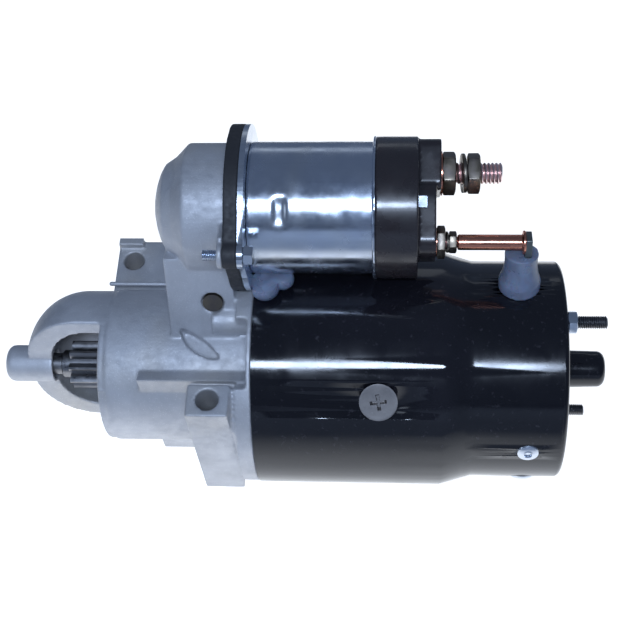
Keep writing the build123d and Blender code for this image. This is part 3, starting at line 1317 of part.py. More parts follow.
HEX_TURN = 26.0                 # turn of the hexagons about the studs
BATTERY_NUT_TURN = 18.0
BATTERY_WASHER = (CAP_HIGH_END, 0.6, 10.3)
BATTERY_BASE = (CAP_HIGH_END + 0.6, 6.2, 18.0)
BATTERY_LOCK = (183.4, 2.0, 9.2)
BATTERY_TOP = (BATTERY_NUT_REAR - 6.0, 6.0, 17.0)
MOTOR_WASHER = (CAP_LOW_END, 0.5, 6.6)
MOTOR_BASE = (CAP_LOW_END + 0.5, 4.0, 13.4)
MOTOR_LOCK = (176.4, 1.2, 5.0)
MOTOR_TOP = (177.8, 3.6, 9.0)

# each piece of hardware: start, height, and outer radius or width across flats
save(stud_washer(*BATTERY_WASHER, BATTERY_SHANK_R, BATTERY_ANGLE), "battery_washer")
save(stud_nut(*BATTERY_BASE, BATTERY_SHANK_R, BATTERY_ANGLE, HEX_TURN), "battery_base_nut")
save(stud_washer(*BATTERY_LOCK, BATTERY_SHANK_R, BATTERY_ANGLE), "battery_lock_washer")
save(stud_nut(*BATTERY_TOP, BATTERY_SHANK_R, BATTERY_ANGLE, BATTERY_NUT_TURN), "battery_nut")
save(stud_washer(*MOTOR_WASHER, MOTOR_STUD_R, MOTOR_ANGLE), "motor_washer")
save(stud_nut(*MOTOR_BASE, MOTOR_STUD_R, MOTOR_ANGLE, HEX_TURN), "motor_base_nut")
save(stud_washer(*MOTOR_LOCK, MOTOR_STUD_R, MOTOR_ANGLE), "motor_lock_washer")
save(stud_nut(*MOTOR_TOP, MOTOR_STUD_R, MOTOR_ANGLE, HEX_TURN), "motor_nut")

# ===========================================================================
# Motor connection: bar, field terminal and its rubber boot
# ===========================================================================
STRAP_T = 3.0
STRAP_WIDTH = 7.6
STRAP_X = CONNECTOR_END + CONNECTOR_PLATE_T

with BuildPart() as motor_connector:
    with BuildSketch(terminal_plane(CONNECTOR_START, MOTOR_ANGLE)):
        Circle(CONNECTOR_R)
    extrude(amount=CONNECTOR_END - CONNECTOR_START)
    with BuildSketch(terminal_plane(CONNECTOR_END, MOTOR_ANGLE)):
        Circle(CONNECTOR_PLATE_R)
    extrude(amount=CONNECTOR_PLATE_T)
save(motor_connector, "motor_connector")

STRAP_PLANE = radial(STRAP_X + STRAP_T / 2, BOOT_ANGLE, 0)
with BuildPart() as field_terminal:
    with BuildSketch(STRAP_PLANE.offset(SMALL_BORE_R - 6)):
        Rectangle(STRAP_T, STRAP_WIDTH)
    extrude(amount=CONNECTOR_HEIGHT + STRAP_WIDTH / 2 - SMALL_BORE_R + 6)
save(field_terminal, "field_terminal")

with BuildPart() as terminal_boot:
    with BuildSketch(Plane(origin=(BOOT_X, 0, 0), x_dir=(1, 0, 0),
                           z_dir=(0, -sin(radians(BOOT_ANGLE)), cos(radians(BOOT_ANGLE))))):
        with BuildLine():
            Polyline(
                (0, SMALL_BORE_R - 2), (BOOT_PLUG_R, SMALL_BORE_R - 2), (BOOT_PLUG_R, SMALL_R - 1),
                (BOOT_BASE_R, SMALL_R - 1), (BOOT_BASE_R, SMALL_R + 4.5),
            )
            Spline((BOOT_BASE_R, SMALL_R + 4.5), (BOOT_NECK_R + 0.3, SMALL_R + 9.5), (BOOT_NECK_R, BOOT_TOP))
            Polyline((BOOT_NECK_R, BOOT_TOP), (0, BOOT_TOP), (0, SMALL_BORE_R - 2))
        make_face()
    revolve(axis=Axis((BOOT_X, 0, 0), (0, cos(radians(BOOT_ANGLE)), sin(radians(BOOT_ANGLE)))))
    with BuildSketch(square_to_shaft(BOOT_X - 15)):
        Circle(SMALL_R)
        Circle(SMALL_BORE_R, mode=Mode.SUBTRACT)
    frame_wall = extrude(amount=30, mode=Mode.PRIVATE)
    with BuildSketch(radial(BOOT_X, BOOT_ANGLE, SMALL_BORE_R - 6)):
        Circle(BOOT_PLUG_R)
    plug = extrude(amount=12, mode=Mode.PRIVATE)
    add(frame_wall - plug, mode=Mode.SUBTRACT)
    with BuildSketch(STRAP_PLANE.offset(SMALL_BORE_R - 6)):
        Rectangle(STRAP_T, STRAP_WIDTH)
    extrude(amount=BOOT_TOP - SMALL_BORE_R + 10, mode=Mode.SUBTRACT)
save(terminal_boot, "terminal_boot")

# ===========================================================================
# Brush gear
# ===========================================================================
BOX_BACK = BRUSH_PLATE_X - BRUSH_X
BOX_FRONT = -BRUSH_LENGTH / 2 - BOX_WALL - BRUSH_GAP
BOX_HALF = BRUSH_WIDTH / 2 + BOX_WALL + BRUSH_GAP

with BuildPart() as brush_holder:
    # ring plate, notched around the through studs
    with BuildSketch(square_to_shaft(BRUSH_PLATE_X)):
        Circle(SMALL_BORE_R - 0.5)
        Circle(COMM_R + 2, mode=Mode.SUBTRACT)
        with Locations(*STUD_POINTS):
            Circle(STUD_R + 2, mode=Mode.SUBTRACT)
    extrude(amount=BRUSH_PLATE_T)
    # two curved feet screwed to the frame
    with BuildSketch(square_to_shaft(BRUSH_PLATE_X - 10)):
        for first, second in (HOLDER_ANGLES[:2], HOLDER_ANGLES[2:]):
            add(ring_sector(BOX_OUTER_R + 1.5, SMALL_BORE_R, (first + second) / 2, second - first + 14))
    extrude(amount=10)
    for angle in HOLDER_ANGLES:
        with Locations(radial(HOLDER_X, angle, BOX_OUTER_R)):
            Cylinder(HOLDER_SCREW_R, 2 * max(2 * FRAME_WALL, SMALL_R - BOX_OUTER_R), mode=Mode.SUBTRACT)
    # one open box for each brush
    for angle in POLE_ANGLES:
        with BuildSketch(radial(BRUSH_X, angle, BOX_INNER_R)):
            with Locations(((BOX_BACK + BOX_FRONT) / 2, 0)):
                Rectangle(BOX_BACK - BOX_FRONT, 2 * BOX_HALF)
        extrude(amount=BOX_OUTER_R - BOX_INNER_R)
        with BuildSketch(radial(BRUSH_X, angle, BOX_INNER_R)):
            Rectangle(BRUSH_LENGTH + 2 * BRUSH_GAP, BRUSH_WIDTH + 2 * BRUSH_GAP)
        extrude(amount=BOX_OUTER_R - BOX_INNER_R - BOX_WALL, mode=Mode.SUBTRACT)
save(brush_holder, "brush_holder")

with BuildPart() as brush_holder_screws:
    for angle in HOLDER_ANGLES:
        with Locations(radial(HOLDER_X, angle, BOX_OUTER_R + 2)):
            Cylinder(HOLDER_SCREW_R, SMALL_R - BOX_OUTER_R - 2,
                     align=(Align.CENTER, Align.CENTER, Align.MIN))
        with Locations(radial(HOLDER_X, angle, SMALL_R)):
            Cylinder(HOLDER_HEAD_R, HOLDER_HEAD_H, align=(Align.CENTER, Align.CENTER, Align.MIN))
        with Locations(radial(HOLDER_X, angle, SMALL_R + HOLDER_HEAD_H)):
            Cylinder(HOLDER_SOCKET_R, 2 * HOLDER_SOCKET_DEPTH, mode=Mode.SUBTRACT)
save(brush_holder_screws, "brush_holder_screws")

for number, angle in enumerate(POLE_ANGLES, start=1):
    with BuildPart() as brush:
        with BuildSketch(radial(BRUSH_X, angle, COMM_R - 3)):
            Rectangle(BRUSH_LENGTH, BRUSH_WIDTH)
        extrude(amount=BRUSH_OUTER_R - COMM_R + 3)
        with BuildSketch(square_to_shaft(BRUSH_X - BRUSH_LENGTH)):
            Circle(COMM_R + RUN_GAP)
        extrude(amount=2 * BRUSH_LENGTH, mode=Mode.SUBTRACT)
    save(brush, f"brush_{number}")

with BuildPart() as brush_springs:
    for angle in POLE_ANGLES:
        out = (0, *on_circle(1, angle))
        add(coil_spring(BRUSH_OUTER_R + 0.05, BOX_OUTER_R - BOX_WALL - 0.05, 3.6, 0.45, 4,
                        axis_origin=(BRUSH_X, 0, 0), direction=out))
save(brush_springs, "brush_springs")

# ===========================================================================
# Sealant between the solenoid and the field frame
# ===========================================================================
SEALANT_BLOBS = [((92.5, -19.0, 2.5), 7.2), ((101.0, -15.5, 4.0), 5.2)]
SEALANT_TRIM = 40.0

with BuildPart() as joint_sealant:
    for (x, y, height), radius in SEALANT_BLOBS:
        with Locations((x, y, FRAME_R + height)):
            Sphere(radius)
    with BuildSketch(square_to_shaft(FRAME_FRONT)):
        Circle(FRAME_R)
    extrude(amount=SEALANT_TRIM, mode=Mode.SUBTRACT)
    with BuildSketch(across_solenoid(FRAME_FRONT)):
        Circle(SOL_R)
    extrude(amount=SEALANT_TRIM, mode=Mode.SUBTRACT)
    with BuildSketch(square_to_shaft(FRAME_FRONT)):
        with Locations((0, SOL_Z / 2)):
            Rectangle(4 * FRAME_R, 4 * FRAME_R)
    extrude(amount=-SEALANT_TRIM, mode=Mode.SUBTRACT)
save(joint_sealant, "joint_sealant")
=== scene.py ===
"""Starter motor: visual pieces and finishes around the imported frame."""
import json
from math import atan2, cos, exp, pi, radians, sin, tau

import bpy
from bpy.props import FloatProperty, FloatVectorProperty, IntProperty, PointerProperty
from mathutils import Matrix, Vector


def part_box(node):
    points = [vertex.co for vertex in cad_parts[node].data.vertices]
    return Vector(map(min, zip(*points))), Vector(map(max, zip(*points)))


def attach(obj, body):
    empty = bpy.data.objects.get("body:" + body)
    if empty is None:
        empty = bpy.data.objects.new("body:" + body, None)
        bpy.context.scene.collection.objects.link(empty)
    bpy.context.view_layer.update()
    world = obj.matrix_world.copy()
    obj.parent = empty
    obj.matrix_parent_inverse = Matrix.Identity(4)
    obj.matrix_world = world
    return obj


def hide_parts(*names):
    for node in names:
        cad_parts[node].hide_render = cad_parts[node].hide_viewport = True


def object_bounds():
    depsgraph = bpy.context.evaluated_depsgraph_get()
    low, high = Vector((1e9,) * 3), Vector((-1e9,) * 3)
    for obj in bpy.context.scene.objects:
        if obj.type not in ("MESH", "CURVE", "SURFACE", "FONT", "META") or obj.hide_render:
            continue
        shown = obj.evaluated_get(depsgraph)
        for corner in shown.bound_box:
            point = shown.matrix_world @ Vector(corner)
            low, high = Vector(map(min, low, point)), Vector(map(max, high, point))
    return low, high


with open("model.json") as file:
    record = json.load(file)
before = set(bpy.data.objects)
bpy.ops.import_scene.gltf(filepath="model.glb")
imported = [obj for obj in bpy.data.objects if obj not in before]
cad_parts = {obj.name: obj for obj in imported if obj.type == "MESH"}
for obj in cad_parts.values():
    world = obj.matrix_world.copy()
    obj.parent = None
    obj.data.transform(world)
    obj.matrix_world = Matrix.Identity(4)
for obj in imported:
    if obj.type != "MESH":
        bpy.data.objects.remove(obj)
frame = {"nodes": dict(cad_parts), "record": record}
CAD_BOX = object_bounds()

bl_info = {
    "name": "Starter Motor",
    "version": (1, 0, 0),
    "blender": (4, 5, 0),
    "location": "View3D > Sidebar > Starter Motor",
    "description": "Builds the visible pieces, finishes and stage of a pre-engaged starter motor",
    "category": "Mesh",
}

MM = 0.001
BOLT_TILT = 25      # degrees that the engine bolts lean from upright
X_AXIS = Vector((1, 0, 0))
Y_AXIS = Vector((0, 1, 0))


# ---------------------------------------------------------------------------
# Sizes and colours that a user would change
# ---------------------------------------------------------------------------
def length(label, text, default):
    return FloatProperty(name=label, description=text, default=default, min=0.0, unit="LENGTH", precision=5)


def colour(label, text, default):
    return FloatVectorProperty(name=label, description=text, default=default, size=3, min=0, max=1, subtype="COLOR")


class CastingSettings(bpy.types.PropertyGroup):
    """Sand-cast and moulded pieces."""

    cell: length("Casting cell", "Cell size of the casting's softened surface", 0.8 * MM)
    keep: FloatProperty(name="Kept faces", description="Share of the casting's faces that are kept", default=0.4,
                        min=0.05, max=1, subtype="FACTOR")
    rounding: IntProperty(name="Edge rounding", description="Smoothing passes on cast edges", default=2, min=0)
    cap_cell: length("Cap cell", "Cell size of the moulded cap's surface", 0.55 * MM)
    rubber_cell: length("Gasket cell", "Cell size of the gasket's surface", 0.6 * MM)
    cap_rounding: IntProperty(name="Cap rounding", description="Smoothing passes on moulded edges", default=4, min=0)


class HardwareSettings(bpy.types.PropertyGroup):
    """Threads, nuts and washers."""

    battery_pitch: length("Battery stud pitch", "Thread pitch of the battery stud", 1.8 * MM)
    motor_pitch: length("Motor stud pitch", "Thread pitch of the motor stud", 1.0 * MM)
    stud_pitch: length("Through stud pitch", "Thread pitch of the through studs", 1.0 * MM)
    screw_pitch: length("Solenoid screw pitch", "Thread pitch of the solenoid screws", 0.8 * MM)
    thread_depth: FloatProperty(name="Thread depth", description="Depth as a share of the pitch", default=0.55,
                                min=0.1, max=0.8, subtype="FACTOR")
    nut_edge: length("Nut edge", "Rounding of the nuts' edges", 0.22 * MM)


class CaseSettings(bpy.types.PropertyGroup):
    """Drawn solenoid case."""

    dimple_depth: length("Dimple depth", "Depth of the oval dimple in the case", 1.0 * MM)
    dimple_x: length("Dimple place", "Place of the dimple along the shaft", 102 * MM)
    dimple_angle: FloatProperty(name="Dimple angle", description="Turn of the dimple about the solenoid",
                                default=radians(154), subtype="ANGLE")
    dimple_half_length: length("Dimple half length", "Half the dimple's size along the shaft", 2.6 * MM)
    dimple_half_height: length("Dimple half height", "Half the dimple's size around the case", 5.4 * MM)
    wall: length("Case wall", "Thickness of the case between its skin and its bore", 2.5 * MM)
    rim_height: length("Rim height", "Height of the rolled rim above the case", 2.8 * MM)
    rim_width: length("Rim width", "Width of the rolled rim", 1.6 * MM)
    crimp_wave: length("Crimp wave", "Height of the waves in the rolled rim", 0.35 * MM)


class FinishSettings(bpy.types.PropertyGroup):
    """Colours of the finishes."""

    casting: colour("Casting", "Bead-blasted aluminium", (0.56, 0.57, 0.60))
    paint: colour("Paint", "Gloss black enamel", (0.006, 0.006, 0.009))
    zinc: colour("Zinc", "Bright zinc plate", (0.62, 0.67, 0.74))
    steel: colour("Steel", "Oiled steel", (0.24, 0.24, 0.25))
    copper: colour("Copper", "Drawn copper", (0.72, 0.30, 0.20))
    olive: colour("Yellow zinc", "Passivated zinc on nuts", (0.20, 0.17, 0.13))
    cap: colour("Cap", "Moulded cap", (0.022, 0.018, 0.020))
    boot: colour("Boot", "Translucent rubber", (0.22, 0.26, 0.36))


class StageSettings(bpy.types.PropertyGroup):
    """Camera and light."""

    lens: FloatProperty(name="Lens", description="Focal length in millimetres", default=73.87, min=1)
    key_power: FloatProperty(name="Key light", description="Power of the large front light", default=7.5, unit="POWER")
    fill_power: FloatProperty(name="Fill light", description="Power of the side and rear lights", default=0.6,
                              unit="POWER")
    ambient: FloatProperty(name="Ambient", description="Strength of the room's light", default=0.2, min=0)
    glow: FloatProperty(name="Sheet brightness", description="Brightness of the sheet under the motor", default=0.9,
                        min=0)
    floor_gap: length("Floor gap", "Room between the motor and the floor", 30 * MM)


# ---------------------------------------------------------------------------
# Modelling helpers
# ---------------------------------------------------------------------------
def clear_selection():
    if bpy.context.mode != "OBJECT":
        bpy.ops.object.mode_set(mode="OBJECT")
    bpy.ops.object.select_all(action="DESELECT")


def choose(obj):
    """Make one object the selected and active one."""
    clear_selection()
    obj.select_set(True)
    bpy.context.view_layer.objects.active = obj


def centre_of(node):
    low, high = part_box(node)
    return (low + high) / 2


def basis(origin, z_dir, x_dir=None):
    """Matrix that puts local Z along z_dir at a point."""
    z = Vector(z_dir).normalized()
    x = Vector(x_dir) if x_dir else (Y_AXIS if abs(z.x) > 0.9 else X_AXIS)
    x = (x - z * x.dot(z)).normalized()
    y = z.cross(x)
    turn = Matrix((x, y, z)).transposed().to_4x4()
    return Matrix.Translation(Vector(origin)) @ turn


def place(obj, matrix):
    """Move a finished mesh to its place, leaving its object at the origin."""
    choose(obj)
    obj.matrix_world = matrix
    bpy.ops.object.transform_apply(location=True, rotation=True, scale=True)
    return obj


def outward(obj):
    choose(obj)
    bpy.ops.object.mode_set(mode="EDIT")
    bpy.ops.mesh.select_all(action="SELECT")
    bpy.ops.mesh.remove_doubles(threshold=1e-6)
    bpy.ops.mesh.normals_make_consistent(inside=False)
    bpy.ops.object.mode_set(mode="OBJECT")
    return obj


def apply_modifier(obj, kind, **values):
    """Add a modifier, set it and apply it."""
    choose(obj)
    modifier = obj.modifiers.new(kind.title(), kind)
    for key, value in values.items():
        setattr(modifier, key, value)
    bpy.ops.object.modifier_apply(modifier=modifier.name)
    return obj


def turned(name, rings, vertices=64, hollow=False):
    """A round piece about local Z, extruded ring by ring; each ring is (z, radius)."""
    clear_selection()
    start, first = rings[0]
    bpy.ops.mesh.primitive_circle_add(vertices=vertices, radius=first, location=(0, 0, start),
                                      fill_type="NOTHING" if hollow else "NGON")
    obj = bpy.context.active_object
    obj.name = name
    bpy.ops.object.transform_apply(location=True)
    bpy.ops.object.mode_set(mode="EDIT")
    bpy.ops.mesh.select_all(action="SELECT")
    path = rings + [rings[0]] if hollow else rings
    for (z_a, r_a), (z_b, r_b) in zip(path, path[1:]):
        bpy.ops.mesh.extrude_region_move(TRANSFORM_OT_translate={"value": (0, 0, z_b - z_a)})
        grow = r_b / r_a
        bpy.ops.transform.resize(value=(grow, grow, 1), center_override=(0, 0, z_b))
    bpy.ops.object.mode_set(mode="OBJECT")
    return outward(obj)


def cut(obj, tool, operation="DIFFERENCE"):
    """Boolean with a second piece, which is used up."""
    apply_modifier(obj, "BOOLEAN", operation=operation, object=tool, solver="EXACT")
    bpy.data.objects.remove(tool)
    return obj


def drawn_line(name, points):
    """An open line through the points, extruded from one vertex."""
    clear_selection()
    bpy.ops.mesh.primitive_plane_add(size=1)
    obj = bpy.context.active_object
    obj.name = name
    bpy.ops.object.mode_set(mode="EDIT")
    bpy.ops.mesh.select_all(action="SELECT")
    bpy.ops.mesh.merge(type="CENTER")
    bpy.ops.transform.translate(value=points[0])
    for a, b in zip(points, points[1:]):
        bpy.ops.mesh.extrude_vertices_move(TRANSFORM_OT_translate={"value": Vector(b) - Vector(a)})
    bpy.ops.object.mode_set(mode="OBJECT")
    return obj


def threaded_rod(name, start, end, radius, pitch, depth, tip=0.6):
    """A rod about local Z with a helical V thread and a chamfered end."""
    root = radius - depth
    profile = [(0, 0), (0.25, 0.75), (0.5, 1), (0.75, 0.75), (1, 0)]
    obj = drawn_line(name, [(root + depth * rise, 0, start - pitch + pitch * along) for along, rise in profile])
    turns = int((end - start) / pitch) + 3
    apply_modifier(obj, "SCREW", axis="Z", angle=tau, screw_offset=pitch, iterations=turns,
                   steps=28, render_steps=28, use_merge_vertices=True, merge_threshold=1e-6)
    choose(obj)
    bpy.ops.object.mode_set(mode="EDIT")
    for height, side in ((start, -1), (end - tip * depth, 1)):
        bpy.ops.mesh.select_all(action="SELECT")
        bpy.ops.mesh.bisect(plane_co=(0, 0, height), plane_no=(0, 0, side), use_fill=True, clear_outer=True)
    bpy.ops.mesh.extrude_region_move(TRANSFORM_OT_translate={"value": (0, 0, tip * depth)})
    bpy.ops.transform.resize(value=(0.86, 0.86, 1), center_override=(0, 0, end))
    bpy.ops.object.mode_set(mode="OBJECT")
    return outward(obj)


def hex_nut(name, height, flats, bore, edge, turn=0.0):
    """Chamfered hexagon nut about local Z, from z 0 up."""
    corner = flats / 2 / cos(pi / 6)
    clear_selection()
    bpy.ops.mesh.primitive_cylinder_add(vertices=6, radius=corner, depth=height, location=(0, 0, height / 2),
                                        rotation=(0, 0, turn))
    obj = bpy.context.active_object
    obj.name = name
    bpy.ops.object.transform_apply(location=True, rotation=True)
    drop = 0.13 * height
    face = 0.95 * flats / 2
    past = corner * 1.02
    chamfer = turned("chamfer", [(-1e-5, face), (drop, past), (height - drop, past), (height + 1e-5, face)], 48)
    cut(obj, chamfer, "INTERSECT")
    over = 1 * MM
    cut(obj, turned("bore", [(-over, bore), (height + over, bore)], 40))
    return apply_modifier(obj, "BEVEL", width=edge, segments=2, limit_method="ANGLE", angle_limit=radians(35))


def spring_washer(name, outer, inner, thickness, rise):
    """Split ring whose ends stand apart."""
    clear_selection()
    bpy.ops.mesh.primitive_plane_add(size=1, location=((outer + inner) / 2, 0, thickness / 2),
                                     rotation=(pi / 2, 0, 0))
    obj = bpy.context.active_object
    obj.name = name
    obj.scale = (outer - inner, thickness, 1)
    bpy.ops.object.transform_apply(location=True, rotation=True, scale=True)
    apply_modifier(obj, "SCREW", axis="Z", angle=radians(342), screw_offset=rise, iterations=1, steps=44,
                   render_steps=44, use_merge_vertices=True, merge_threshold=1e-7)
    choose(obj)
    bpy.ops.object.mode_set(mode="EDIT")
    bpy.ops.mesh.select_all(action="SELECT")
    bpy.ops.mesh.fill_holes(sides=4)
    bpy.ops.object.mode_set(mode="OBJECT")
    outward(obj)
    return apply_modifier(obj, "BEVEL", width=0.2 * thickness, segments=2, limit_method="ANGLE",
                          angle_limit=radians(40))


def rounded_bar(name, start, end, radius):
    """A round bar with domed ends between two points."""
    span = Vector(end) - Vector(start)
    reach = span.length
    ball = [(radius * (1 - cos(a)), max(1e-5, radius * sin(a))) for a in (0.05, 0.4, 0.8, 1.2)]
    rings = ball + [(radius, radius), (reach - radius, radius)] + [(reach - z, r) for z, r in reversed(ball)]
    return place(turned(name, rings, 20), basis(start, span))


def duplicate(obj, name):
    """A copy with its own mesh."""
    twin = bpy.data.objects.new(name, obj.data.copy())
    bpy.context.scene.collection.objects.link(twin)
    return twin


def from_node(node, name):
    """A merged copy of a CAD node's mesh, to be shaped further."""
    obj = bpy.data.objects.new(name, frame["nodes"][node].data.copy())
    bpy.context.scene.collection.objects.link(obj)
    return outward(obj)


def softened(node, name, cell, passes):
    """A copy of a node with cast or moulded edges."""
    obj = from_node(node, name)
    apply_modifier(obj, "REMESH", mode="VOXEL", voxel_size=cell, adaptivity=0)
    return apply_modifier(obj, "SMOOTH", factor=0.5, iterations=passes)


def join(pieces, name):
    """One piece out of several shells."""
    choose(pieces[0])
    for piece in pieces[1:]:
        piece.select_set(True)
    bpy.ops.object.join()
    joined = bpy.context.active_object
    joined.name = name
    return joined


def complete(obj, finish, nodes=(), body="root", angle=35):
    """Shade, paint and hang a finished piece on its body."""
    choose(obj)
    bpy.ops.object.shade_smooth_by_angle(angle=radians(angle))
    obj.data.materials.clear()
    obj.data.materials.append(finish)
    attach(obj, body)
    if nodes:
        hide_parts(*nodes)
    return obj


# ---------------------------------------------------------------------------
# Finishes
# ---------------------------------------------------------------------------
class Finish:
    """A Principled finish with patterns read from Object coordinates."""

    made = {}

    def __init__(self, name, base, metallic, roughness, **sockets):
        self.material = bpy.data.materials.new(name)
        self.material.use_nodes = True
        self.tree = self.material.node_tree
        self.shader = self.tree.nodes["Principled BSDF"]
        self.base = (*base, 1)
        self.put("Base Color", self.base)
        self.put("Metallic", metallic)
        self.put("Roughness", roughness)
        for key, value in sockets.items():
            self.put(key.replace("_", " "), value)
        self.place = self.tree.nodes.new("ShaderNodeTexCoord").outputs["Object"]

    def put(self, socket, value):
        self.shader.inputs[socket].default_value = value

    def stretch(self, scale):
        """Object coordinates scaled differently along each axis."""
        node = self.tree.nodes.new("ShaderNodeMapping")
        node.inputs["Scale"].default_value = scale
        self.tree.links.new(self.place, node.inputs["Vector"])
        return node.outputs["Vector"]

    def noise(self, scale, detail=4, distortion=0.0, place=None):
        node = self.tree.nodes.new("ShaderNodeTexNoise")
        node.inputs["Scale"].default_value = scale
        node.inputs["Detail"].default_value = detail
        node.inputs["Distortion"].default_value = distortion
        self.tree.links.new(place or self.place, node.inputs["Vector"])
        return node.outputs["Fac"]

    def cells(self, scale):
        node = self.tree.nodes.new("ShaderNodeTexVoronoi")
        node.inputs["Scale"].default_value = scale
        self.tree.links.new(self.place, node.inputs["Vector"])
        return node.outputs["Distance"]

    def spread(self, source, low, high, to_low=0.0, to_high=1.0):
        node = self.tree.nodes.new("ShaderNodeMapRange")
        for key, value in (("From Min", low), ("From Max", high), ("To Min", to_low), ("To Max", to_high)):
            node.inputs[key].default_value = value
        self.tree.links.new(source, node.inputs["Value"])
        return node.outputs["Result"]

    def tint(self, mask, colour, under=None):
        """Mix a colour over the base where the mask is high."""
        node = self.tree.nodes.new("ShaderNodeMix")
        node.data_type = "RGBA"
        self.tree.links.new(mask, node.inputs["Factor"])
        if under is None:
            node.inputs["A"].default_value = self.base
        else:
            self.tree.links.new(under, node.inputs["A"])
        node.inputs["B"].default_value = (*colour, 1)
        result = node.outputs["Result"]
        self.tree.links.new(result, self.shader.inputs["Base Color"])
        return result

    def rough(self, source, low, high):
        self.tree.links.new(self.spread(source, 0.3, 0.7, low, high), self.shader.inputs["Roughness"])

    def relief(self, source, strength, distance, after=None):
        node = self.tree.nodes.new("ShaderNodeBump")
        node.inputs["Strength"].default_value = strength
        node.inputs["Distance"].default_value = distance
        self.tree.links.new(source, node.inputs["Height"])
        if after is not None:
            self.tree.links.new(after, node.inputs["Normal"])
        self.tree.links.new(node.outputs["Normal"], self.shader.inputs["Normal"])
        return node.outputs["Normal"]


def scaled(colour, factor):
    return tuple(min(1.0, c * factor) for c in colour)


def cast_aluminium(tones):
    """Bead-blasted casting: soft blotches, fine white dots as painted glints, shallow pits."""
    f = Finish("cast_aluminium", tones.casting, 0.65, 0.58)
    blotch = f.tint(f.spread(f.noise(38, 5), 0.35, 0.7), scaled(tones.casting, 0.78))
    warm = f.tint(f.spread(f.noise(22, 3), 0.55, 0.75, 0, 0.5), (0.60, 0.56, 0.50), blotch)
    # Painted glints: tiny white dots mixed into the base colour stand in for the sparkle of light on the blasted
    # surface.
    f.tint(f.spread(f.cells(1100), 0.16, 0.04, 0, 0.9), (1.0, 1.0, 1.0), warm)
    f.rough(f.noise(260, 3), 0.52, 0.70)
    grain = f.relief(f.noise(1100, 3), 0.35, 0.25 * MM)
    f.relief(f.noise(240, 4), 0.22, 0.5 * MM, grain)
    return f.material


def black_enamel(tones):
    """Gloss enamel with orange peel, dust and faint wipe marks."""
    f = Finish("black_enamel", tones.paint, 0.0, 0.12)
    dust = f.spread(f.noise(420, 5), 0.62, 0.80, 0, 0.22)
    specks = f.tint(dust, (0.16, 0.15, 0.17))
    f.tint(f.spread(f.noise(9, 4, 0.6), 0.60, 0.85, 0, 0.10), (0.10, 0.09, 0.12), specks)
    f.rough(f.noise(60, 4, 0.4), 0.08, 0.20)
    f.relief(f.noise(150, 2), 0.05, 0.3 * MM)
    return f.material


def bright_zinc(tones):
    """Zinc plate: draw lines along the part, cloudy blue and straw tints."""
    f = Finish("bright_zinc", tones.zinc, 1.0, 0.2)
    lines = f.noise(60, 4, place=f.stretch((0.25, 9, 9)))
    clouds = f.tint(f.spread(f.noise(30, 4, 1.0), 0.40, 0.72, 0, 0.55), (0.50, 0.58, 0.74))
    straw = f.tint(f.spread(f.noise(19, 3, 0.5), 0.55, 0.80, 0, 0.45), (0.74, 0.69, 0.56), clouds)
    f.tint(f.spread(lines, 0.55, 0.80, 0, 0.35), (0.34, 0.36, 0.42), straw)
    f.rough(f.noise(120, 4), 0.15, 0.30)
    f.relief(lines, 0.06, 0.2 * MM)
    return f.material


def oiled_steel(tones):
    """Machined dark steel with fine tool marks and stains."""
    f = Finish("oiled_steel", tones.steel, 1.0, 0.35)
    stain = f.tint(f.spread(f.noise(70, 5), 0.45, 0.75, 0, 0.7), scaled(tones.steel, 0.45))
    f.tint(f.spread(f.noise(500, 3), 0.60, 0.80, 0, 0.5), (0.42, 0.42, 0.44), stain)
    f.rough(f.noise(240, 4), 0.25, 0.50)
    f.relief(f.noise(900, 2, place=f.stretch((3, 1, 1))), 0.15, 0.1 * MM)
    return f.material


def metal_plate(name, base, spot, rough=(0.18, 0.42), scale=140):
    """Small plated or drawn metal parts, with worn spots."""
    f = Finish(name, base, 1.0, rough[0])
    worn = f.tint(f.spread(f.noise(scale, 5), 0.42, 0.75, 0, 0.85), spot)
    f.tint(f.spread(f.noise(scale * 4, 3), 0.62, 0.80, 0, 0.6), scaled(base, 1.5), worn)
    f.rough(f.noise(scale * 2, 4), *rough)
    f.relief(f.noise(scale * 6, 3), 0.15, 0.12 * MM)
    return f.material


def moulded_cap(tones):
    """Polished phenolic with flow marks and faint scuffs."""
    f = Finish("moulded_cap", tones.cap, 0.0, 0.22, Coat_Weight=0.3, Coat_Roughness=0.1)
    flow = f.tint(f.spread(f.noise(40, 5, 1.2), 0.45, 0.78, 0, 0.6), (0.040, 0.024, 0.022))
    f.tint(f.spread(f.noise(600, 4), 0.68, 0.85, 0, 0.3), (0.14, 0.13, 0.14), flow)
    f.rough(f.noise(90, 4), 0.16, 0.38)
    f.relief(f.noise(330, 3), 0.08, 0.2 * MM)
    return f.material


def matte_solid(name, base, rough, grain=500):
    """Rubber, nylon, carbon and other dull pieces with a fine grain."""
    f = Finish(name, base, 0.0, rough)
    f.tint(f.spread(f.noise(80, 5), 0.40, 0.75, 0, 0.7), scaled(base, 1.7))
    f.rough(f.noise(grain, 4), rough - 0.1, min(1.0, rough + 0.1))
    f.relief(f.noise(grain, 4), 0.25, 0.15 * MM)
    return f.material


def clear_rubber(name, base, rough, transmission):
    """Cloudy translucent rubber or sealant."""
    f = Finish(name, base, 0.0, rough, Transmission_Weight=transmission, IOR=1.42,
               Subsurface_Weight=0.35, Subsurface_Scale=4 * MM)
    f.tint(f.spread(f.noise(120, 4, 0.8), 0.40, 0.75, 0, 0.7), scaled(base, 1.6))
    f.rough(f.noise(160, 3), rough, rough + 0.18)
    f.relief(f.noise(190, 3, 0.5), 0.25, 0.4 * MM)
    return f.material


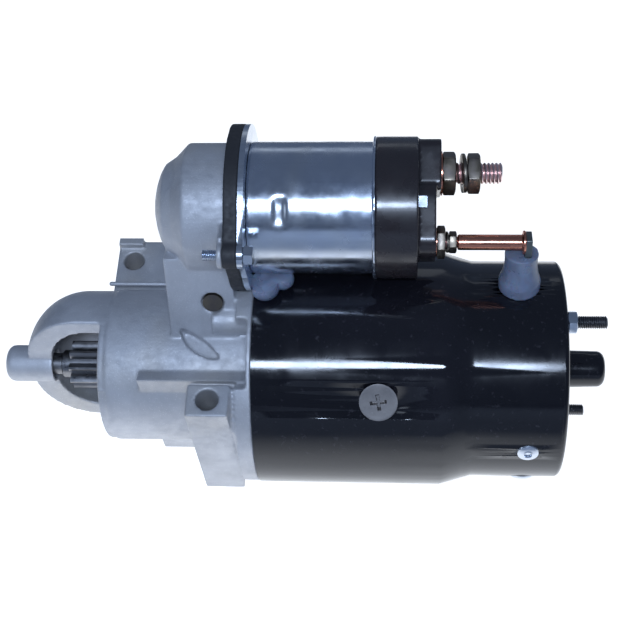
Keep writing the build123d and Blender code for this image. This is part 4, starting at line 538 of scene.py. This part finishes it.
def all_finishes(tones):
    """Every finish by the name of its material slot."""
    if not Finish.made:
        Finish.made.update({
            "cast_aluminium": cast_aluminium(tones),
            "black_paint": black_enamel(tones),
            "zinc_plate": bright_zinc(tones),
            "dark_steel": oiled_steel(tones),
            "dull_zinc": metal_plate("dull_zinc", (0.33, 0.31, 0.30), (0.22, 0.21, 0.21), (0.45, 0.62)),
            "yellow_zinc": metal_plate("yellow_zinc", tones.olive, (0.13, 0.115, 0.12), (0.28, 0.5)),
            # Lighter, tinned-looking copy of the drawn copper for the battery stud; part of its lightness is painted
            # light that makes up for the shade between the thread flanks.
            "tinned_copper_with_painted_light": metal_plate("tinned_copper_with_painted_light", (0.98, 0.78, 0.74), (0.92, 0.64, 0.60), (0.25, 0.42), 90),
            "copper": metal_plate("drawn_copper", tones.copper, (0.50, 0.20, 0.14), (0.16, 0.32), 90),
            "tinned_strap": metal_plate("tinned_strap", (0.20, 0.22, 0.21), (0.13, 0.14, 0.14), (0.35, 0.5)),
            "sintered_bronze": metal_plate("sintered_bronze", (0.50, 0.36, 0.20), (0.30, 0.20, 0.11)),
            "black_phenolic": moulded_cap(tones),
            "black_rubber": matte_solid("black_rubber", (0.022, 0.022, 0.025), 0.62),
            "clear_rubber": clear_rubber("clear_rubber", tones.boot, 0.22, 0.25),
            "nylon": matte_solid("nylon", (0.62, 0.58, 0.48), 0.45, 300),
            "brush_carbon": matte_solid("brush_carbon", (0.05, 0.045, 0.045), 0.6, 900),
            "brush_frame": metal_plate("brush_frame", (0.48, 0.49, 0.50), (0.32, 0.32, 0.33)),
        })
    return Finish.made


# ---------------------------------------------------------------------------
# Operators
# ---------------------------------------------------------------------------
class PieceOperator:
    """Shared frame of the operators: each builds its pieces or raises."""

    bl_options = {"REGISTER", "UNDO"}

    def execute(self, context):
        self.settings = context.scene.starter_motor
        self.finishes = all_finishes(self.settings.finish)
        self.build()
        clear_selection()
        return {"FINISHED"}

    def done(self, obj, slot, nodes=(), body="root", angle=35, finish=None):
        return complete(obj, self.finishes[finish or slot], nodes, body, angle)


class STARTER_OT_node_finishes(PieceOperator, bpy.types.Operator):
    """Give every carried-over node the finish of its material slot"""

    bl_idname = "starter.node_finishes"
    bl_label = "Node Finishes"

    def build(self):
        for row in frame["record"]["subparts"]:
            obj = frame["nodes"][row["node"]]
            finish = self.finishes[row["material_slot"]]
            if not obj.material_slots:
                obj.data.materials.append(finish)
            for slot in obj.material_slots:
                slot.material = finish


class STARTER_OT_housing(PieceOperator, bpy.types.Operator):
    """Cast drive-end housing with rounded cast edges"""

    bl_idname = "starter.housing"
    bl_label = "Drive-End Housing"

    def build(self):
        cast = self.settings.casting
        housing = softened("drive_housing", "housing_casting", cast.cell, cast.rounding)
        apply_modifier(housing, "DECIMATE", ratio=cast.keep)
        tilt = radians(BOLT_TILT)
        sideways, upwards = Vector((0, cos(tilt), sin(tilt))), Vector((0, -sin(tilt), cos(tilt)))
        root = sideways * 33.5 * MM + upwards * 23.6 * MM
        rib = rounded_bar("rib", root + X_AXIS * 8 * MM, root + X_AXIS * 46 * MM, 1.1 * MM)
        housing = join([housing, rib], "housing_casting")
        self.done(housing, "cast_aluminium", ["drive_housing"], angle=50)


class STARTER_OT_field_frame(PieceOperator, bpy.types.Operator):
    """Painted field frame and the end frame behind it"""

    bl_idname = "starter.field_frame"
    bl_label = "Field Frame and End Frame"

    def build(self):
        shell = from_node("field_frame", "frame_shell")
        self.done(shell, "black_paint", ["field_frame"], angle=30)
        cover = from_node("end_frame", "rear_cover")
        self.done(cover, "black_paint", ["end_frame"], angle=40)


class STARTER_OT_solenoid_case(PieceOperator, bpy.types.Operator):
    """Drawn solenoid case with its dimple and rolled, waved rim"""

    bl_idname = "starter.solenoid_case"
    bl_label = "Solenoid Case"

    def build(self):
        case = self.settings.case
        low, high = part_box("solenoid_case")
        centre = (low + high) / 2
        rim = (high.y - low.y) / 2
        radius = rim - case.rim_height
        inner = radius - case.wall
        edge = high.x - case.rim_width
        round_in = 0.8 * MM
        steps = 70
        rings = [(low.x, inner), (low.x, radius - round_in), (low.x + 0.3 * round_in, radius - 0.25 * round_in)]
        span = edge - low.x - round_in
        rings += [(low.x + round_in + span * i / steps, radius) for i in range(steps + 1)]
        rings += [(edge + 0.1 * MM, rim - 1.1 * MM), (edge + 0.35 * MM, rim - 0.25 * MM), (edge + 0.7 * MM, rim)]
        rings += [(high.x - 0.3 * MM, rim), (high.x, rim - 0.4 * MM), (high.x, inner)]
        obj = turned("case_shell", rings, 200, hollow=True)
        place(obj, basis((0, centre.y, centre.z), X_AXIS))
        # press the dimple in and wave the rolled rim, point by point
        for v in obj.data.vertices:
            y, z = v.co.y - centre.y, v.co.z - centre.z
            distance = (y * y + z * z) ** 0.5
            if distance < inner + 0.5 * MM:
                continue
            angle = atan2(z, y)
            along = (v.co.x - case.dimple_x) / case.dimple_half_length
            across = (angle - case.dimple_angle) * radius / case.dimple_half_height
            reach = (along ** 4 + across ** 4) ** 0.5
            push = -case.dimple_depth * exp(-0.7 * reach * reach)
            if distance > radius + 1.5 * MM:
                push -= case.crimp_wave * (0.5 + 0.5 * sin(23 * angle) * cos(9 * angle + 1))
            grow = 1 + push / distance
            v.co.y, v.co.z = centre.y + y * grow, centre.z + z * grow
        self.done(obj, "zinc_plate", ["solenoid_case"], angle=40)


class STARTER_OT_solenoid_cap(PieceOperator, bpy.types.Operator):
    """Moulded cap with rounded shoulders"""

    bl_idname = "starter.solenoid_cap"
    bl_label = "Solenoid Cap"

    def build(self):
        cast = self.settings.casting
        cap = softened("solenoid_cap", "cap_moulding", cast.cap_cell, cast.cap_rounding)
        self.done(cap, "black_phenolic", ["solenoid_cap"], angle=60)


class STARTER_OT_flange(PieceOperator, bpy.types.Operator):
    """Rubber gasket and bright steel flange at the solenoid's foot"""

    bl_idname = "starter.flange"
    bl_label = "Gasket and Flange"

    def build(self):
        cast = self.settings.casting
        gasket = softened("flange_gasket", "gasket_rubber", cast.rubber_cell, cast.cap_rounding)
        self.done(gasket, "black_rubber", ["flange_gasket"], angle=60)
        plate = from_node("solenoid_flange", "flange_plate")
        self.done(plate, "zinc_plate", ["solenoid_flange"], angle=30)


class STARTER_OT_terminals(PieceOperator, bpy.types.Operator):
    """Threaded terminal studs with their nuts and spring washers"""

    bl_idname = "starter.terminals"
    bl_label = "Terminal Studs"

    def stack(self, prefix, pitch, radius, flats, turns):
        """Stud, two nuts and a spring washer of one terminal."""
        hardware = self.settings.hardware
        low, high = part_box(f"{prefix}_stud")
        centre = centre_of(f"{prefix}_stud")
        seat = basis((0, centre.y, centre.z), X_AXIS)
        head_r, head_edge = 7 * MM, 0.5 * MM
        head_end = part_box("solenoid_cap")[1].x - 19 * MM
        depth = hardware.thread_depth * pitch
        rod = threaded_rod(f"{prefix}_stud_thread", head_end, high.x, radius, pitch, depth)
        head = turned("head", [(low.x, head_r - 0.6 * MM), (low.x + head_edge, head_r), (head_end, head_r)], 48)
        stud = place(join([rod, head], f"{prefix}_stud_thread"), seat)
        # The stud's thread takes the lighter copper copy, partly painted light against the shade in its flanks.
        self.done(stud, "copper", [f"{prefix}_stud"], angle=30, finish="tinned_copper_with_painted_light")
        for (node, width), turn in zip(((f"{prefix}_base_nut", flats[0]), (f"{prefix}_nut", flats[1])), turns):
            a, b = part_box(node)
            nut = hex_nut(f"{node}_hex", b.x - a.x, width, radius - depth * 0.9, hardware.nut_edge, turn)
            place(nut, basis((a.x, centre.y, centre.z), X_AXIS))
            self.done(nut, "yellow_zinc", [node], angle=25)
        a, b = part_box(f"{prefix}_lock_washer")
        thick = 0.8 * (b.x - a.x)
        washer = spring_washer(f"{prefix}_spring_washer", (b.y - a.y) / 2, radius + 0.1 * MM, thick,
                               b.x - a.x - thick)
        place(washer, basis((a.x, centre.y, centre.z), X_AXIS) @ Matrix.Rotation(radians(5), 4, "Y")
              @ Matrix.Rotation(radians(250), 4, "Z"))
        self.done(washer, "yellow_zinc", [f"{prefix}_lock_washer"], angle=35)

    def build(self):
        hardware = self.settings.hardware
        self.stack("battery", hardware.battery_pitch, 5 * MM, (18 * MM, 17 * MM), (radians(19), radians(17)))
        self.stack("motor", hardware.motor_pitch, 3 * MM, (13.4 * MM, 9 * MM), (radians(26), radians(26)))


class STARTER_OT_connector(PieceOperator, bpy.types.Operator):
    """Copper bar from the motor terminal, with its end plate, and the field terminal's boot"""

    bl_idname = "starter.connector"
    bl_label = "Connector and Boot"

    def build(self):
        low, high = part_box("motor_connector")
        centre = centre_of("motor_connector")
        plate_r = (high.y - low.y) / 2
        bar_r = 3.65 * MM
        plate = high.x - 1.2 * MM
        rings = [(low.x, bar_r - 0.5 * MM), (low.x + 0.5 * MM, bar_r), (plate - 0.5 * MM, bar_r)]
        rings += [(plate, bar_r + 0.4 * MM), (plate, plate_r - 0.2 * MM), (plate + 0.25 * MM, plate_r)]
        rings += [(high.x - 0.25 * MM, plate_r), (high.x, plate_r - 0.25 * MM), (high.x, bar_r)]
        bar = place(turned("connector_bar", rings, 64), basis((0, centre.y, centre.z), X_AXIS))
        self.done(bar, "copper", ["motor_connector"], angle=35)
        strap = from_node("field_terminal", "terminal_strap")
        apply_modifier(strap, "BEVEL", width=0.5 * MM, segments=3, limit_method="ANGLE", angle_limit=radians(40))
        self.done(strap, "tinned_strap", ["field_terminal"], angle=30)
        boot = softened("terminal_boot", "boot_rubber", 0.5 * MM, 8)
        self.done(boot, "clear_rubber", ["terminal_boot"], angle=60)


class STARTER_OT_sealant(PieceOperator, bpy.types.Operator):
    """Bead of sealant between the solenoid and the frame"""

    bl_idname = "starter.sealant"
    bl_label = "Sealant"

    def build(self):
        bead = softened("joint_sealant", "sealant_bead", 0.4 * MM, 6)
        middle = centre_of("joint_sealant")
        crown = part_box("joint_sealant")[1].z - 3.5 * MM
        choose(bead)
        bpy.ops.object.mode_set(mode="EDIT")
        bpy.ops.mesh.select_all(action="SELECT")
        bpy.ops.mesh.bisect(plane_co=(0, middle.y, crown), plane_no=(0, -0.4, 1), use_fill=True, clear_outer=True)
        bpy.ops.object.mode_set(mode="OBJECT")
        self.done(bead, "clear_rubber", ["joint_sealant"], angle=60)


class STARTER_OT_solenoid_screws(PieceOperator, bpy.types.Operator):
    """Two hexagon screws that hold the solenoid's flange"""

    bl_idname = "starter.solenoid_screws"
    bl_label = "Solenoid Screws"

    def build(self):
        hardware = self.settings.hardware
        low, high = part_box("solenoid_screws")
        centre = centre_of("solenoid_screws")
        head = 4.5 * MM
        reach = (high.y - low.y) / 2 - 4 * MM / cos(pi / 6)
        pitch = hardware.screw_pitch
        pieces = []
        for side in (-1, 1):
            rod = threaded_rod("thread", low.x, high.x - head, 2.5 * MM, pitch, hardware.thread_depth * pitch)
            cap = hex_nut("head", head, 8 * MM, 0.8 * MM, hardware.nut_edge)
            place(cap, Matrix.Translation((0, 0, high.x - head)))
            screw = join([rod, cap], "screw")
            pieces.append(place(screw, basis((0, side * reach, centre.z), X_AXIS)))
        self.done(join(pieces, "flange_screws"), "zinc_plate", ["solenoid_screws"], angle=30)


class STARTER_OT_through_studs(PieceOperator, bpy.types.Operator):
    """Two long studs with threaded ends and the nuts on the end frame"""

    bl_idname = "starter.through_studs"
    bl_label = "Through Studs"

    def build(self):
        hardware = self.settings.hardware
        low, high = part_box("through_studs")
        nut_low, nut_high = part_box("through_stud_nuts")
        pitch = hardware.stud_pitch
        radius = 3 * MM
        shank = 2.6 * MM
        corner = Vector((0, (high.y - low.y) / 2 - radius, (high.z - low.z) / 2 - radius))
        spots = (Vector((0, -corner.y, corner.z)), Vector((0, corner.y, -corner.z)))
        studs, nuts = [], []
        for spot in spots:
            end = threaded_rod("end", nut_low.x - 6 * MM, high.x, radius, pitch, hardware.thread_depth * pitch)
            rod = turned("rod", [(low.x, shank), (nut_low.x - 5 * MM, shank)], 32)
            studs.append(place(join([end, rod], "stud"), basis(spot, X_AXIS)))
            nut = hex_nut("nut", nut_high.x - nut_low.x, 10 * MM, shank, hardware.nut_edge)
            nuts.append(place(nut, basis(spot + X_AXIS * nut_low.x, X_AXIS)))
        self.done(join(studs, "stud_threads"), "dark_steel", ["through_studs"], angle=30)
        self.done(join(nuts, "stud_hex_nuts"), "zinc_plate", ["through_stud_nuts"], angle=25)


class STARTER_OT_pole_screws(PieceOperator, bpy.types.Operator):
    """Countersunk cross-recess screws that hold the pole shoes"""

    bl_idname = "starter.pole_screws"
    bl_label = "Pole Screws"

    def recess_arm(self, top, size):
        """One arm of the cross recess, narrower at its bottom."""
        clear_selection()
        bpy.ops.mesh.primitive_cube_add(size=1, location=(0, 0, top))
        arm = bpy.context.active_object
        arm.scale = size
        bpy.ops.object.transform_apply(location=True, scale=True)
        for part in (*arm.data.polygons, *arm.data.edges, *arm.data.vertices):
            part.select = False
        for v in arm.data.vertices:
            v.select = v.co.z < top
        bpy.ops.object.mode_set(mode="EDIT")
        bpy.ops.transform.resize(value=(0.55, 0.55, 1), center_override=(0, 0, top))
        bpy.ops.object.mode_set(mode="OBJECT")
        return arm

    def build(self):
        low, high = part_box("pole_shoe_screws")
        middle = (low.x + high.x) / 2
        top, head_r, head_h, shank, tip = 58 * MM, 9 * MM, 4.2 * MM, 4 * MM, 41.5 * MM
        arm_length, arm_width, arm_depth = 10.2 * MM, 2.3 * MM, 2.2 * MM
        rings = [(tip, shank - 0.4 * MM), (tip + 0.6 * MM, shank), (top - head_h, shank)]
        rings += [(top - 0.5 * MM, head_r - 0.15 * MM), (top - 0.3 * MM, head_r), (top - 0.05 * MM, head_r - 0.1 * MM)]
        rings += [(top, head_r - 0.5 * MM), (top - 0.06 * MM, head_r - 1.1 * MM), (top - 0.06 * MM, 1 * MM)]
        screw = turned("screw", rings, 72)
        for long_axis in (0, 1):
            size = [arm_width, arm_width, 2 * arm_depth]
            size[long_axis] = arm_length
            cut(screw, self.recess_arm(top, size))
        twist = Matrix.Rotation(radians(7.5), 4, "Z")
        pieces = []
        for k in range(4):
            turn = radians(160 + 90 * k)
            twin = duplicate(screw, "pole_screw")
            pieces.append(place(twin, basis((middle, 0, 0), (0, cos(turn), sin(turn)), X_AXIS) @ twist))
        bpy.data.objects.remove(screw)
        heads = join(pieces, "pole_screw_heads")
        self.done(heads, "zinc_plate", ["pole_shoe_screws"], angle=30, finish="dull_zinc")


class STARTER_OT_brush_screws(PieceOperator, bpy.types.Operator):
    """Domed screws that hold the brush holders to the frame"""

    bl_idname = "starter.brush_screws"
    bl_label = "Brush-Holder Screws"

    def build(self):
        low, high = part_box("brush_holder_screws")
        middle = (low.x + high.x) / 2
        seat, rise, head_r, shank = 53.4 * MM, 1.5 * MM, 5.2 * MM, 2.5 * MM
        socket_r, socket = 1.8 * MM, 0.9 * MM
        rings = [(seat - 9 * MM, shank), (seat - 0.05 * MM, shank), (seat - 0.05 * MM, head_r)]
        rings += [(seat + rise * sin(a), head_r * cos(a)) for a in (0.35, 0.7, 0.95, 1.12)]
        rings += [(seat + rise, socket_r + 0.25 * MM), (seat + rise - 0.15 * MM, socket_r)]
        rings += [(seat + rise - socket, socket_r - 0.15 * MM), (seat + rise - socket, 0.3 * MM)]
        screw = turned("screw", rings, 48)
        pieces = []
        for degrees in (191.5, 230.0, 11.5, 50.0):
            turn = radians(degrees)
            twin = duplicate(screw, "brush_screw")
            pieces.append(place(twin, basis((middle, 0, 0), (0, cos(turn), sin(turn)), X_AXIS)))
        bpy.data.objects.remove(screw)
        self.done(join(pieces, "brush_screw_heads"), "zinc_plate", ["brush_holder_screws"], angle=30)


class STARTER_OT_stage(PieceOperator, bpy.types.Operator):
    """Pale floor, soft studio light and the camera"""

    bl_idname = "starter.stage"
    bl_label = "Stage"

    def light(self, name, place_at, target, size, power, tone=(1, 1, 1)):
        clear_selection()
        bpy.ops.object.light_add(type="AREA", location=place_at)
        lamp = bpy.context.active_object
        lamp.name = name
        lamp.data.shape = "RECTANGLE"
        lamp.data.size, lamp.data.size_y = size
        lamp.data.energy = power
        lamp.data.color = tone
        lamp.rotation_euler = (Vector(target) - Vector(place_at)).to_track_quat("-Z", "Y").to_euler()

    def paper(self, stage):
        """White sheet around the motor that fades to grey further off."""
        middle_x, middle_y = 0.14, 0.52
        half_x, half_y = 0.90, 0.70
        fade_start, fade_end = 0.88, 1.02
        sheet = Finish("pale_paper", (0.50, 0.52, 0.56), 0.0, 0.9)
        placed = sheet.tree.nodes.new("ShaderNodeMapping")
        placed.inputs["Location"].default_value = (-middle_x / half_x, -middle_y / half_y, 0)
        placed.inputs["Scale"].default_value = (1 / half_x, 1 / half_y, 0)
        sheet.tree.links.new(sheet.place, placed.inputs["Vector"])
        length_of = sheet.tree.nodes.new("ShaderNodeVectorMath")
        length_of.operation = "LENGTH"
        sheet.tree.links.new(placed.outputs["Vector"], length_of.inputs[0])
        mask = sheet.spread(length_of.outputs["Value"], fade_start, fade_end, 1.0, 0.0)
        sheet.tint(mask, (0.95, 0.95, 0.94))
        glow = sheet.spread(mask, 0, 1, 0.0, stage.glow)
        sheet.put("Emission Color", (1, 1, 0.985, 1))
        sheet.tree.links.new(glow, sheet.shader.inputs["Emission Strength"])
        sheet.relief(sheet.noise(300, 3), 0.03, 0.2 * MM)
        return sheet.material

    def build(self):
        stage = self.settings.stage
        low = Vector(CAD_BOX[0])
        clear_selection()
        bpy.ops.mesh.primitive_plane_add(size=8, location=(0, 0, low.z - stage.floor_gap))
        floor = bpy.context.active_object
        floor.name = "floor"
        floor.data.materials.append(self.paper(stage))

        target = (0.105, 0, 0.04)
        self.light("key", (0.14, -0.91, 0.70), target, (0.42, 0.12), stage.key_power, (0.62, 0.76, 1))
        self.light("side", (-0.75, -0.50, 0.25), target, (0.25, 0.4), stage.fill_power, (0.70, 0.82, 1))
        self.light("rear", (0.20, 0.95, 0.70), target, (0.8, 0.2), 0.4 * stage.fill_power, (0.85, 0.92, 1))

        world = bpy.data.worlds.new("studio")
        bpy.context.scene.world = world
        world.use_nodes = True
        background = world.node_tree.nodes["Background"]
        background.inputs["Color"].default_value = (0.50, 0.66, 1, 1)
        background.inputs["Strength"].default_value = stage.ambient
        bpy.context.scene.view_settings.view_transform = "Standard"

        camera_at = (0.157, -0.5146, 0.3815)
        right = Vector((0.9973, 0.0608, -0.0410)).normalized()
        ahead = Vector((-0.0734, 0.8268, -0.5577)).normalized()
        up = right.cross(ahead)
        roll = Matrix.Rotation(radians(0.4), 4, "Z")
        pose = Matrix((right, up, -ahead)).transposed().to_4x4()
        data = bpy.data.cameras.new("camera")
        data.sensor_width = 36
        data.lens = stage.lens
        data.clip_start = 0.01
        camera = bpy.data.objects.new("camera", data)
        bpy.context.scene.collection.objects.link(camera)
        camera.matrix_world = Matrix.Translation(camera_at) @ pose @ roll
        bpy.context.scene.camera = camera


# ---------------------------------------------------------------------------
# Panel and registration
# ---------------------------------------------------------------------------
OPERATORS = (
    STARTER_OT_node_finishes,
    STARTER_OT_housing,
    STARTER_OT_field_frame,
    STARTER_OT_solenoid_case,
    STARTER_OT_solenoid_cap,
    STARTER_OT_flange,
    STARTER_OT_terminals,
    STARTER_OT_connector,
    STARTER_OT_sealant,
    STARTER_OT_solenoid_screws,
    STARTER_OT_through_studs,
    STARTER_OT_pole_screws,
    STARTER_OT_brush_screws,
    STARTER_OT_stage,
)


class StarterMotorSettings(bpy.types.PropertyGroup):
    """All settings of the starter motor."""

    casting: PointerProperty(name="Castings", description="Cast and moulded pieces", type=CastingSettings)
    hardware: PointerProperty(name="Hardware", description="Threads, nuts and washers", type=HardwareSettings)
    case: PointerProperty(name="Case", description="Solenoid case", type=CaseSettings)
    finish: PointerProperty(name="Finishes", description="Colours", type=FinishSettings)
    stage: PointerProperty(name="Stage", description="Camera and light", type=StageSettings)


class STARTER_PT_panel(bpy.types.Panel):
    """Sidebar panel that lists the operators and their settings"""

    bl_idname = "STARTER_PT_panel"
    bl_label = "Starter Motor"
    bl_space_type = "VIEW_3D"
    bl_region_type = "UI"
    bl_category = "Starter Motor"

    def draw(self, context):
        settings = context.scene.starter_motor
        for operator in OPERATORS:
            self.layout.operator(operator.bl_idname)
        for name in ("casting", "hardware", "case", "finish", "stage"):
            group = getattr(settings, name)
            column = self.layout.box().column()
            column.label(text=name.title())
            for key in group.__annotations__:
                column.prop(group, key)


GROUPS = (CastingSettings, HardwareSettings, CaseSettings, FinishSettings, StageSettings, StarterMotorSettings)


def register():
    for item in (*GROUPS, *OPERATORS, STARTER_PT_panel):
        bpy.utils.register_class(item)
    bpy.types.Scene.starter_motor = PointerProperty(type=StarterMotorSettings)


def unregister():
    del bpy.types.Scene.starter_motor
    for item in reversed((*GROUPS, *OPERATORS, STARTER_PT_panel)):
        bpy.utils.unregister_class(item)


def main():
    register()
    for operator in OPERATORS:
        group, name = operator.bl_idname.split(".")
        getattr(getattr(bpy.ops, group), name)()
    bpy.context.view_layer.update()


if __name__ == "__main__":
    main()
